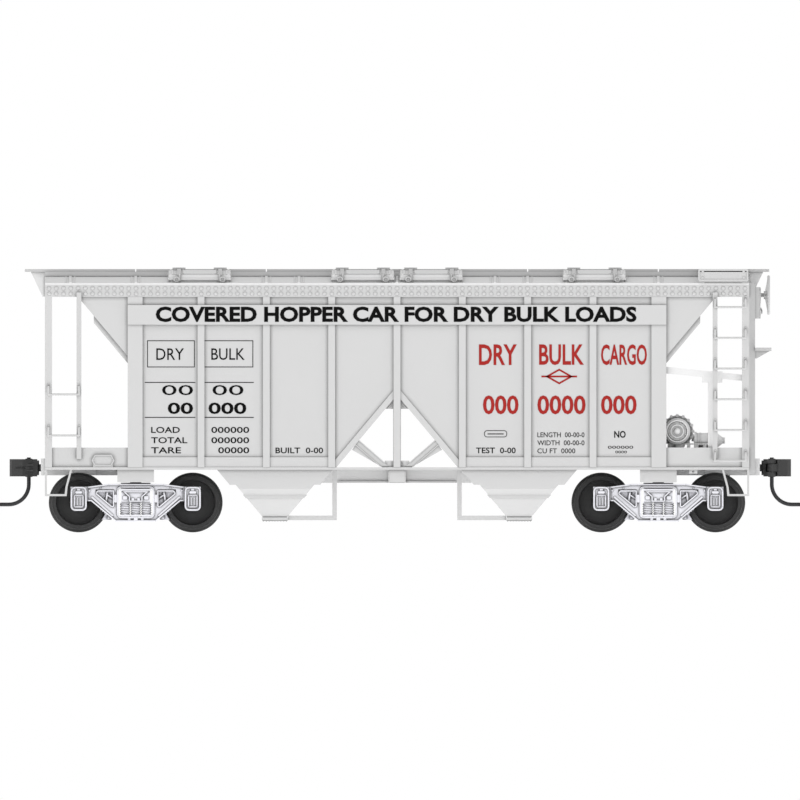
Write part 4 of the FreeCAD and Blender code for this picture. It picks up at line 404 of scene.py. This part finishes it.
def cross_walks():
    """The two cross walks: grating, plate at the eave and the wedges that carry them."""
    shape = bmesh.new()
    for side in (-1, 1):
        x_low, x_high = sorted((-side * 52.55, -side * 61.3))
        y_low, y_high = sorted((side * 3.1, side * 17.3))
        grating(shape, x_low, x_high, y_low, y_high, WALK_LOW, WALK_TOP, pitch=0.95)
        plate = oblong(x_low, x_high, 43.85, 45.93, clip=0.2)
        slab(shape, plate, 16.95, 17.3, on_side(side))
        ridge(shape, plate, 0.3, 17.3, 17.38, on_side(side))
        slab(shape, oblong(x_low + 0.2, x_high - 0.2, 43.62, 43.85), 16.92, 17.2, on_side(side))
        for x in (x_low + 0.8, x_high - 0.8):
            wedge = [
                (3.5, WALK_LOW), (3.5, roof_height(3.5)), (EAVE_Y, EAVE_TOP), (EAVE_Y + 0.05, WALK_LOW)
            ]
            slab(shape, wedge, x - 0.25, x + 0.25, lambda y, z, depth: Vector((depth, side * y, z)))
            dome(shape, (x, side * 17.3, 44.45), (0, side, 0), 0.25, 0.15)
            dome(shape, (x, side * 17.3, 45.5), (0, side, 0), 0.25, 0.15)
    made = piece("cross_walk_gratings", shape, "car_body", ACETAL)
    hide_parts("lateral_walks")


cross_walks()


def hatch_detail():
    """Raised panel, foot bead, corner bolts and hinge pins of the eight hatch covers."""
    shape = bmesh.new()
    slope = (RIDGE_TOP - EAVE_TOP) / EAVE_Y
    for side in (-1, 1):
        for middle in HATCHES_AT:
            def on_cover(x, y, rise):
                """Places a point on this cover, at a rise over the roof's sheet."""
                return Vector((middle + x, side * y, roof_height(y) + rise))
            slab(shape, oblong(-2.9, 2.9, 6.0, 13.9, clip=0.5), 1.25, 1.42, on_cover)
            ridge(shape, oblong(-4.9, 4.9, 5.2, 14.6, clip=0.4), 0.35, 1.25, 1.36, on_cover)
            ridge(shape, oblong(-5.4, 5.4, 4.7, 15.1), -0.12, 0.42, 0.72, on_cover)
            for x in (-5.0, 5.0):
                for y in (5.1, 14.7):
                    dome(shape, on_cover(x, y, 1.25), (0, side * slope, 1), 0.3, 0.22, sides=6)
            for x in (-3.6, 3.6):
                pin = [on_cover(x - 1.15, 4.4, 1.5), on_cover(x + 1.15, 4.4, 1.5)]
                round_bar(shape, pin, 0.24)
    piece("hatch_panels", shape, "car_body", STYRENE_PAINTED_LIGHT, edge=0.03)


hatch_detail()


def card_frames():
    """Six-sided rims round the route card boards, with the bolts that hold them."""
    shape = bmesh.new()
    height = 12.55
    for side in (-1, 1):
        middle = side * 51.3
        corners = ((-1.45, 1.0), (1.45, 1.0), (2.0, 0.0), (1.45, -0.95), (-1.45, -0.95), (-2.0, 0.0))
        board = [(middle + a, height + b) for a, b in corners]
        ridge(shape, board, 0.2, 16.5, 16.95, on_side(side))
        for a in (-1.7, 1.7):
            dome(shape, (middle + a, side * 16.7, height), (0, side, 0), 0.2, 0.25, sides=6)
    piece("card_frames", shape, "car_body", ACETAL)


card_frames()


def eye_nuts():
    """Ring of each hatch's eye nut, facing out from the eave, with its swing bolt."""
    shape = bmesh.new()
    for side in (-1, 1):
        for middle in HATCHES_AT:
            for hand in (-1, 1):
                x, y, z = middle + hand * 4.0, side * 15.95, 44.14
                ring = [(a, y, b) for a, b in circle(0.42, 16, x, z)]
                round_bar(shape, ring, 0.13, sides=6, closed=True)
                bolt = [(x - hand * 0.45, side * 15.55, height) for height in (43.95, 45.1)]
                round_bar(shape, bolt, 0.14)
    piece("hatch_eye_nuts", shape, "car_body", ACETAL)


eye_nuts()


def ladder_bolts():
    """Bolt heads where rungs and grabs are fixed, and along the stiles' feet."""
    shape = bmesh.new()
    lug = 1.35
    rungs = [12.5 + 5.36 * k + lug for k in range(6)]
    grabs = [16.9 + lug, 24.07 + lug]
    for side, hand, heights in ((-1, 1, rungs), (1, 1, rungs), (-1, -1, grabs), (1, -1, grabs)):
        for z in heights:
            for x, face in ((55.5, 17.3), (60.825, 16.9)):
                dome(shape, (hand * x, side * face, z + 0.45), (0, side, 0), 0.2, 0.14, sides=6)
    piece("ladder_bolts", shape, "car_body", ACETAL)


ladder_bolts()


def gate_gear():
    """Toothed rack strips under the outlet gates."""
    shape = bmesh.new()
    for end in (-1, 1):
        for hand in (-1, 1):
            middle = end * 21.3
            for y in (6.0, 10.6):
                strip = oblong(middle - 2.2, middle + 2.2, hand * y - 0.3, hand * y + 0.3)
                slab(shape, strip, 1.98, 2.13, lying)
                for k in range(9):
                    x = middle - 2.0 + k * 0.5
                    slab(shape, oblong(x - 0.1, x + 0.1, hand * y - 0.3, hand * y + 0.3), 1.88, 1.98, lying)
    piece("gate_gear", shape, "car_body", STYRENE, edge=0.04)


gate_gear()


def bay_detail():
    """Gussets at the notch's top, flanged strut plates, foot plate rivets and the bay's cross bearer."""
    shape = bmesh.new()
    for side in (-1, 1):
        for hand in (-1, 1):
            gusset = [(hand * x, z) for x, z in ((0.6, 23.6), (2.6, 21.55), (0.6, 21.55))]
            slab(shape, gusset, 15.9, 16.4, on_side(side))
            edge = [(hand * x, z) for x, z in ((0.68, 22.6), (1.75, 21.7), (0.68, 21.7))]
            ridge(shape, edge, 0.14, 16.4, 16.5, on_side(side))
            strut = ((7.3, 16.6), (2.2, 12.15), (1.4, 11.5), (2.85, 11.5), (7.8, 15.8))
            plate = [(hand * x, z) for x, z in strut]
            slab(shape, plate, 15.85, 16.58, on_side(side))
            web = [(hand * x, z) for x, z in ((7.75, 15.85), (2.75, 11.5), (2.95, 11.5), (7.9, 15.7))]
            slab(shape, web, 16.4, 16.72, on_side(side))
            web = [(hand * x, z) for x, z in ((7.25, 16.7), (2.1, 12.2), (2.25, 12.1), (7.35, 16.55))]
            slab(shape, web, 16.4, 16.72, on_side(side))
            for x, z in ((1.0, 12.1), (1.75, 12.1), (1.0, 11.75)):
                dome(shape, (hand * x, side * 16.5, z), (0, side, 0), 0.16, 0.1, sides=8)
            slab(shape, oblong(*sorted((hand * 1.3, hand * 1.5)), 8.64, 11.3), 2.6, 15.9, on_side(side))
        slab(shape, oblong(-1.3, 1.3, 8.75, 10.9), 2.6, 15.9, on_side(side))
        slab(shape, oblong(-10.3, 10.3, 8.64, 8.95), 2.6, 3.1, on_side(side))
    piece("bay_gussets", shape, "car_body", STYRENE, edge=0.03)


bay_detail()


def air_brake_detail():
    """Rings and boss of the reservoir's head, flange bolts of the cylinder and the base of both."""
    shape = bmesh.new()
    for radius, rise in ((1.95, 0.35), (1.2, 0.3)):
        ridge(shape, circle(radius, 32, TANK_X, TANK_Z), 0.22, 13.9, 14.3 + rise, on_side(-1))
    dome(shape, (TANK_X, -14.25, TANK_Z), (0, -1, 0), 0.65, 0.6, sides=16)
    for k in range(8):
        a = math.tau * (k + 0.5) / 8
        bolt = (TANK_X + 1.55 * math.cos(a), -14.3, TANK_Z + 1.55 * math.sin(a))
        dome(shape, bolt, (0, -1, 0), 0.17, 0.22, sides=6)
    for x in (52.0, 55.5):
        for y, z in circle(1.3, 8, CYLINDER_Y, CYLINDER_Z):
            dome(shape, (x, y, z), (1, 0, 0), 0.2, 0.35, sides=6)
    for x in (52.9, 54.3):
        ring = [(x, y, z) for y, z in circle(1.33, 24, CYLINDER_Y, CYLINDER_Z)]
        round_bar(shape, ring, 0.1, sides=6, closed=True)
    base = on_side(-1)
    for low, high in ((47.2, 48.0), (48.6, 50.0), (50.6, 51.2), (51.8, 52.6), (53.4, 54.0), (54.6, 55.4)):
        slab(shape, oblong(low, high, 14.5, 15.35), 11.9, 12.2, base)
    for low, high in ((14.5, 14.8), (15.3, 15.55)):
        slab(shape, oblong(47.2, 55.6, low, high), 11.9, 12.25, base)
    piece("air_brake_detail", shape, "car_body", ACETAL_PAINTED_LIGHT, edge=0.03)


air_brake_detail()


def tank_pipes():
    """Thin pipes from the reservoir and the brake cylinder to the control valve."""
    shape = bmesh.new()
    from_tank = [(50.9, -4.4, 17.2), (51.6, -4.4, 17.0), (51.9, -4.4, 16.4), (52.1, -4.4, 16.2)]
    from_cylinder = [
        (53.3, -3.8, 16.0), (54.6, -3.8, 15.6), (54.9, -5.5, 15.0), (54.9, -8.2, 15.0), (54.0, -9.3, 15.3),
    ]
    for route in (from_tank, from_cylinder):
        round_bar(shape, route, 0.22)
    for x, y, z in ((51.0, -4.4, 17.2), (53.3, -3.8, 16.0)):
        dome(shape, (x, y, z), (1, 0, 0), 0.4, 0.35, sides=6)
    piece("brake_pipes", shape, "car_body", ACETAL_PAINTED_LIGHT)


tank_pipes()


def gear_case_detail():
    """Cover ribs, bolts and the release lever of the hand brake's gear case."""
    shape = bmesh.new()
    face, middle = 63.29, -6.2

    def on_case(y, z, depth):
        """Places (y, z) on the case's outer face, y counted from its middle."""
        return Vector((depth, y + middle, z))

    ridge(shape, oblong(-2.2, 2.2, 37.3, 42.8, clip=0.7), 0.3, face, face + 0.14, on_case)
    ridge(shape, circle(1.15, 20, 0.0, 41.4), 0.25, face, face + 0.2, on_case)
    for y in (-1.7, 1.7):
        for z in (38.0, 40.1, 42.3):
            dome(shape, on_case(y, z, face), (1, 0, 0), 0.26, 0.2, sides=6)
    lever = [(face + 0.15, middle, 39.1), (face + 0.35, -7.6, 38.7), (face + 0.35, -8.7, 38.2)]
    round_bar(shape, lever, 0.16)
    for z in (14.0, 20.0, 26.0, 35.0):
        slab(shape, oblong(-0.35, 0.35, z, z + 0.6), 61.5, 62.45, on_case)
    piece("gear_case_detail", shape, "car_body", ACETAL, edge=0.03)


gear_case_detail()


# ---- trucks --------------------------------------------------------------------------------------

FRAME_FACE = 13.5
LID_FACE = 14.25
FRAME_OUTLINE = [
    (-11.35, 7.95), (-8.55, 7.95), (-4.8, 8.45), (4.8, 8.45), (8.55, 7.95), (11.35, 7.95), (11.35, 5.45), (
        7.8, 5.45
    ),
    (3.5, 1.88), (-3.5, 1.88), (-7.8, 5.45), (-11.35, 5.45),
]


def rounded(a_low, a_high, b_low, b_high, radius):
    """A rectangle's outline with round corners."""
    corners = ((a_high - radius, b_high - radius), (a_low + radius, b_high - radius), (
        a_low + radius, b_low + radius
    ),
               (a_high - radius, b_low + radius))
    return [
        (a + radius * math.cos(turn), b + radius * math.sin(turn))
        for quarter, (a, b) in enumerate(corners)
        for turn in [math.radians(90 * quarter + 22.5 * k) for k in range(5)]
    ]


def box_lid(shape, place, middle):
    """A journal box front: round-footed rim, ribbed lid, hinge and lug."""
    ridge(
        shape, rounded(middle - 1.4, middle + 1.4, 3.77, 7.95, 0.75), 0.3, LID_FACE - 0.2, LID_FACE + 0.16,
        place
    )
    lid = rounded(middle - 0.85, middle + 0.85, 4.35, 6.6, 0.35)
    slab(shape, lid, LID_FACE, LID_FACE + 0.14, place)
    ridge(shape, lid, 0.2, LID_FACE + 0.14, LID_FACE + 0.3, place)
    for a in (-0.25, 0.25):
        slab(
            shape, oblong(middle + a - 0.08, middle + a + 0.08, 4.7, 6.1), LID_FACE + 0.14, LID_FACE + 0.3,
            place
        )
    slab(shape, rounded(middle - 0.6, middle + 0.6, 6.75, 7.2, 0.2), LID_FACE, LID_FACE + 0.34, place)
    slab(shape, rounded(middle - 0.3, middle + 0.3, 7.2, 7.6, 0.14), LID_FACE, LID_FACE + 0.22, place)


def window_webs(shape, place, hand):
    """The pocket between the column and the sloping bars: rims, a slanting rib and a rivet."""
    corners = ((3.75, 7.35), (3.75, 4.45), (4.2, 4.35), (6.95, 6.65), (6.95, 7.0), (6.6, 7.35))
    pocket = [(hand * x, z) for x, z in corners]
    ridge(shape, pocket, 0.22, FRAME_FACE - 0.15, FRAME_FACE + 0.2, place)
    rib = [(hand * x, z) for x, z in ((4.75, 7.2), (5.05, 7.2), (5.3, 5.55), (5.05, 5.3))]
    slab(shape, rib, FRAME_FACE - 0.9, FRAME_FACE - 0.1, place)
    rib = [(hand * x, z) for x, z in ((3.9, 6.0), (3.9, 5.75), (4.9, 6.35), (4.85, 6.6))]
    slab(shape, rib, FRAME_FACE - 0.9, FRAME_FACE - 0.15, place)
    web = [(hand * x, z) for x, z in ((3.7, 7.5), (3.7, 4.2), (7.1, 6.9), (7.1, 7.5))]
    slab(shape, web, FRAME_FACE - 1.0, FRAME_FACE - 0.75, place)


def bolster_end(shape, place):
    """The funnel-shaped end of the bolster with its lip, side bearing lugs and core hole rim."""
    lip = [(-2.75, 7.6), (-2.75, 7.25), (2.75, 7.25), (2.75, 7.6)]
    slab(shape, lip, 13.55, 13.95, place)
    funnel = [(-2.3, 7.2), (-1.2, 6.2), (-1.2, 5.35), (1.2, 5.35), (1.2, 6.2), (2.3, 7.2)]
    slab(shape, funnel, 13.6, 13.78, place)
    ridge(shape, funnel, 0.22, 13.78, 13.98, place)
    for hand in (-1, 1):
        slab(shape, rounded(*sorted((hand * 1.45, hand * 2.25)), 5.7, 6.35, 0.2), 13.6, 13.85, place)
        slab(shape, rounded(*sorted((hand * 0.25, hand * 0.75)), 5.55, 6.0, 0.15), 13.78, 13.95, place)


def spring_nest(shape, place):
    """Three coil springs on their seat, between the spring caps."""
    for k in (-1, 0, 1):
        turns = [math.tau * i / 12 for i in range(12 * 5 + 1)]
        coil = [
            place(
                k * 1.85 + 0.74 * math.cos(a), 3.05 + 2.05 * a / (math.tau * 5), 12.85 + 0.74 * math.sin(a)
            )
            for a in turns
        ]
        round_bar(shape, coil, 0.16, sides=6)
        slab(shape, rounded(k * 1.85 - 0.85, k * 1.85 + 0.85, 5.05, 5.35, 0.12), 12.2, 13.7, place)
        slab(shape, rounded(k * 1.85 - 0.85, k * 1.85 + 0.85, 2.75, 3.1, 0.12), 12.2, 13.75, place)


def truck_relief(truck, middle):
    """Everything that stands on the faces of one truck's side frames and bolster."""
    shape = bmesh.new()
    for side in (-1, 1):
        place = on_side(side, middle)
        rim = FRAME_OUTLINE[1:5] + [(8.55, 5.45)] + FRAME_OUTLINE[7:11] + [(-8.55, 5.45)]
        ridge(shape, rim, 0.24, FRAME_FACE, FRAME_FACE + 0.24, place)
        ridge(shape, rounded(-3.0, 3.0, 2.75, 7.75, 0.5), -0.3, FRAME_FACE, FRAME_FACE + 0.2, place)
        bolster_end(shape, place)
        spring_nest(shape, place)
        for hand in (-1, 1):
            window_webs(shape, place, hand)
            box_lid(shape, place, hand * HALF_WHEELBASE)
            belly = [(hand * x, z) for x, z in ((7.6, 6.35), (7.85, 6.1), (4.1, 2.75), (3.8, 2.95))]
            slab(shape, belly, FRAME_FACE, FRAME_FACE + 0.14, place)
            for k in range(4):
                x, z = 5.0 + 0.32 * k, 3.05 + 0.28 * k
                notch = [(hand * a, b) for a, b in oblong(x, x + 0.16, z, z + 0.35)]
                slab(shape, notch, FRAME_FACE, FRAME_FACE + 0.2, place)
            dome(shape, place(hand * 8.1, 7.3, FRAME_FACE), (0, side, 0), 0.26, 0.18, sides=8)
            dome(shape, place(hand * 6.1, 7.75, FRAME_FACE), (0, side, 0), 0.18, 0.14, sides=8)
            lug = rounded(*sorted((hand * 3.3, hand * 3.75)), 5.2, 6.6, 0.15)
            slab(shape, lug, FRAME_FACE, FRAME_FACE + 0.22, place)
        for x in (-1.4, 0.9):
            slab(shape, rounded(x, x + 0.5, 2.0, 2.6, 0.1), FRAME_FACE, FRAME_FACE + 0.18, place)
        slab(shape, oblong(-0.35, 0.35, 1.9, 2.7), FRAME_FACE, FRAME_FACE + 0.22, place)
    piece(f"{truck}_relief", shape, truck, PALE_ACETAL, edge=0.03)


truck_relief("truck_a", -TRUCK_AT)
truck_relief("truck_b", TRUCK_AT)


def wheel_faces(number, x):
    """Turned steps on the outer face of both wheels of an axle, and the ring round each hub."""
    shape = bmesh.new()
    for side in (-1, 1):
        for radius, width, depth, rise in (
            (4.6, 0.12, 10.05, 0.03), (3.1, 0.3, 8.7, 0.08), (1.2, 0.3, 10.3, 0.06)
        ):
            ridge(
                shape, circle(radius, 48, 0.0, AXLE_Z), width, depth - 0.02, depth + rise, on_side(side, x)
            )
    piece(f"wheel_steps_{number}", shape, f"wheelset_{number}", BLACK_WHEEL)


for number, x in enumerate((-55.55, -35.65, 35.65, 55.55), start=1):
    wheel_faces(number, x)


# ---- couplers ------------------------------------------------------------------------------------


def coupler_detail(end, pivot):
    """Thin coil beside the head that pulls the knuckle shut, and the bumps of the head casting."""
    sign = 1 if end == "b" else -1

    def at(x, y, z):
        """Places a point counted from the coupler's pivot, x out toward the knuckle."""
        return Vector((pivot + sign * x, sign * y, COUPLER_Z + z))

    shape = bmesh.new()
    for z in (0.5, -0.5):
        rib = oblong(7.6, 9.6, z - 0.14, z + 0.14, clip=0.05)
        slab(shape, rib, 2.0, 2.1, lambda x, height, y: at(x, y, height))
    turns = [math.tau * i / 10 for i in range(61)]
    coil = [
        at(9.0 + 1.7 * a / (math.tau * 6), 2.48 + 0.12 * math.cos(a), 0.12 * math.sin(a)) for a in turns
    ]
    round_bar(shape, coil, 0.05, sides=6)
    for z in (1.51, -1.51):
        ring = [at(x, y, z) for x, y in circle(0.55, 10, 8.4, -1.25)]
        round_bar(shape, ring, 0.1, sides=6, closed=True)
    piece(f"coupler_{end}_detail", shape, f"coupler_{end}", BLACK_ZINC)


coupler_detail("b", 57.0)
coupler_detail("a", -55.85)


# ---- printed marks -------------------------------------------------------------------------------

# Pad-printed ink: a matte film that stands hardly proud of the plastic.
BLACK_INK = finish("black_ink_pad_printed", "#060606", 0.9, ior=1.25, mottle=0.1)
RED_INK = finish("red_ink_pad_printed", "#A52A26", 0.85, ior=1.3, mottle=0.08)
FILM = 0.03


def stencil(shape, words, left, foot, tall, long, to_world, face, weight=0.0):
    """Words as a film of ink: capitals of a height from a foot line, drawn out to a length."""
    curve = bpy.data.curves.new("stencil", "FONT")
    curve.body = words
    curve.offset = weight
    curve.extrude = 0.01
    curve.resolution_u = 3
    drawn = bpy.data.objects.new("stencil", curve)
    bpy.context.scene.collection.objects.link(drawn)
    bpy.context.view_layer.update()
    solved = drawn.evaluated_get(bpy.context.evaluated_depsgraph_get())
    flat = solved.to_mesh()
    spots = [Vector(v.co) for v in flat.vertices]
    low = Vector((min(p.x for p in spots), min(p.y for p in spots)))
    high = Vector((max(p.x for p in spots), max(p.y for p in spots)))
    across = long / (high.x - low.x)
    up = tall / (high.y - low.y)
    made = [
        shape.verts.new(
            to_world(left + (p.x - low.x) * across, foot + (p.y - low.y) * up, face + FILM * (p.z > 0))
        )
        for p in spots
    ]
    for polygon in flat.polygons:
        shape.faces.new([made[i] for i in polygon.vertices])
    solved.to_mesh_clear()
    bpy.data.objects.remove(drawn)
    bpy.data.curves.remove(curve)


# words, left end, foot line, height of capitals, length of the line, weight of the strokes
BLACK_WORDS = [
    ("00", -41.0, 23.95, 1.75, 5.4, 0.0), ("00", -32.2, 23.95, 1.75, 5.4, 0.0),
    ("00", -40.0, 20.65, 2.0, 4.4, 0.02), ("000", -32.9, 20.65, 2.0, 6.6, 0.02),
    ("LOAD", -42.9, 17.35, 1.05, 5.0, 0.01), ("000000", -32.4, 17.35, 1.05, 6.6, 0.01),
    ("TOTAL", -42.9, 15.55, 1.05, 6.3, 0.01), ("000000", -32.4, 15.55, 1.05, 6.6, 0.01),
    ("TARE", -42.9, 13.8, 1.05, 5.2, 0.01), ("00000", -31.2, 13.8, 1.05, 5.4, 0.01),
    ("BUILT  0-00", -21.2, 13.8, 1.0, 8.3, 0.01),
    ("TEST  0-00", 13.8, 13.8, 1.0, 6.9, 0.01),
    ("LENGTH  00-00-0", 24.5, 16.6, 0.85, 8.2, 0.0), ("WIDTH  00-00-0", 24.5, 15.2, 0.85, 8.2, 0.0),
    ("CU FT  0000", 24.5, 13.8, 0.85, 6.6, 0.0),
    ("NO", 37.9, 16.5, 1.2, 2.0, 0.02), ("000000", 36.8, 14.6, 0.5, 4.4, 0.0), (
        "0000", 38.1, 13.8, 0.45, 2.0, 0.0
    ),
]
RED_WORDS = [
    ("DRY", 14.3, 29.2, 3.6, 6.6, 0.02), ("BULK", 24.8, 29.2, 3.6, 7.8, 0.02), (
        "CARGO", 35.6, 29.2, 3.6, 8.0, 0.02
    ),
    ("000", 15.0, 20.6, 3.3, 6.2, 0.02), ("0000", 24.5, 20.6, 3.3, 8.4, 0.02), (
        "000", 35.6, 20.6, 3.3, 6.2, 0.02
    ),
]


def side_marks(side):
    """Plain working marks on one side: wording by use, noughts for numbers, panels and a lozenge."""
    black = bmesh.new()
    red = bmesh.new()

    def read(x, z, depth):
        """Places (x, z, depth), x counted the way this side is read."""
        return Vector((-side * x, side * depth, z))

    stencil(
        black, "COVERED HOPPER CAR FOR DRY BULK LOADS", -42.1, 36.7, 2.7, 83.9, read, BOARD_FACE,
        weight=0.035
    )
    for words, left, foot, tall, long, weight in BLACK_WORDS:
        stencil(black, words, left, foot, tall, long, read, SHEET_FACE, weight=weight)
    for words, left, foot, tall, long, weight in RED_WORDS:
        stencil(red, words, left, foot, tall, long, read, SHEET_FACE, weight=weight)
    for low, high in ((-43.6, -35.3), (-33.7, -25.1)):
        ridge(black, oblong(low, high, 28.8, 33.5), 0.12, SHEET_FACE, SHEET_FACE + FILM, read)
        for z in (26.1, 20.0):
            slab(black, oblong(low - 0.4, high + 0.1, z, z + 0.13), SHEET_FACE, SHEET_FACE + FILM, read)
    stencil(black, "DRY", -42.0, 30.1, 2.0, 4.8, read, SHEET_FACE)
    stencil(black, "BULK", -32.4, 30.1, 2.0, 5.8, read, SHEET_FACE)
    emblem_x, emblem_z = 28.3, 27.2
    corners = ((-2.418, 0.0), (0.0, -1.368), (2.418, 0.0), (0.0, 1.368))
    lozenge = [(emblem_x + a, emblem_z + b) for a, b in corners]
    ridge(red, lozenge, 0.3, SHEET_FACE, SHEET_FACE + FILM, read)
    slab(red, oblong(emblem_x - 3.1, emblem_x + 3.1, 27.05, 27.35), SHEET_FACE, SHEET_FACE + FILM, read)
    ridge(black, rounded(15.2, 19.2, 16.6, 17.8, 0.5), 0.1, SHEET_FACE, SHEET_FACE + FILM, read)
    slab(black, oblong(15.8, 18.6, 17.1, 17.25), SHEET_FACE, SHEET_FACE + FILM, read)
    name = "left" if side < 0 else "right"
    piece(f"black_marks_{name}", black, "car_body", BLACK_INK)
    piece(f"red_marks_{name}", red, "car_body", RED_INK)


side_marks(-1)
side_marks(1)


# ---- floor, light and camera ---------------------------------------------------------------------

floor_mesh = bpy.data.meshes.new("floor")
floor_shape = bmesh.new()
bmesh.ops.create_grid(floor_shape, x_segments=1, y_segments=1, size=3.0)
floor_shape.to_mesh(floor_mesh)
floor_shape.free()
floor = bpy.data.objects.new("floor", floor_mesh)
# Matte white card, lit evenly, so that it reads as plain white round the car.
white_card = finish("white_card_matte", "#F8F8F8", 0.8, mottle=0.01, mottle_mm=80, grain_mm=1.0, glow=0.7)
floor_mesh.materials.append(white_card)
bpy.context.scene.collection.objects.link(floor)
floor.location.z = cad_box[0].z - 0.02 * MM

world = bpy.data.worlds.new("studio")
bpy.context.scene.world = world
world.use_nodes = True
world.node_tree.nodes.clear()
seen_by = add(world, "ShaderNodeLightPath")
soft_sky = add(world, "ShaderNodeBackground", Color=(1, 1, 1, 1), Strength=0.72)
white_wall = add(world, "ShaderNodeBackground", Color=(1, 1, 1, 1), Strength=1.0)
first_shader, second_shader = 1, 2
choice = add(
    world,
    "ShaderNodeMixShader",
    [
        ("Fac", seen_by, "Is Camera Ray"),
        (first_shader, soft_sky, "Background"),
        (second_shader, white_wall, "Background"),
    ],
)
add(world, "ShaderNodeOutputWorld", [("Surface", choice, "Shader")])


def lamp(name, place, target, size, power):
    """A soft square lamp at a place, aimed at a target."""
    data = bpy.data.lights.new(name, "AREA")
    data.size = size
    data.energy = power
    made = bpy.data.objects.new(name, data)
    made.location = place
    made.rotation_euler = (Vector(target) - Vector(place)).to_track_quat("-Z", "Y").to_euler()
    bpy.context.scene.collection.objects.link(made)


lamp("key_lamp", (-0.35, -0.45, 0.6), (0, 0, 0.02), 0.3, 0.75)
lamp("fill_lamp", (0.6, -0.4, 0.25), (0, 0, 0.02), 0.5, 0.35)

VIEW_WIDTH = 139.6
VIEW_CENTRE = (0.52, 23.1)
VIEW_FROM = 1.0
camera_data = bpy.data.cameras.new("studio_camera")
camera_data.type = "ORTHO"
camera_data.ortho_scale = VIEW_WIDTH * MM
camera = bpy.data.objects.new("studio_camera", camera_data)
camera.location = (VIEW_CENTRE[0] * MM, -VIEW_FROM, VIEW_CENTRE[1] * MM)
camera.rotation_euler = (math.radians(90), 0, 0)
camera_data.clip_end = 20
bpy.context.scene.collection.objects.link(camera)
bpy.context.scene.camera = camera
bpy.context.scene.view_settings.view_transform = "Standard"
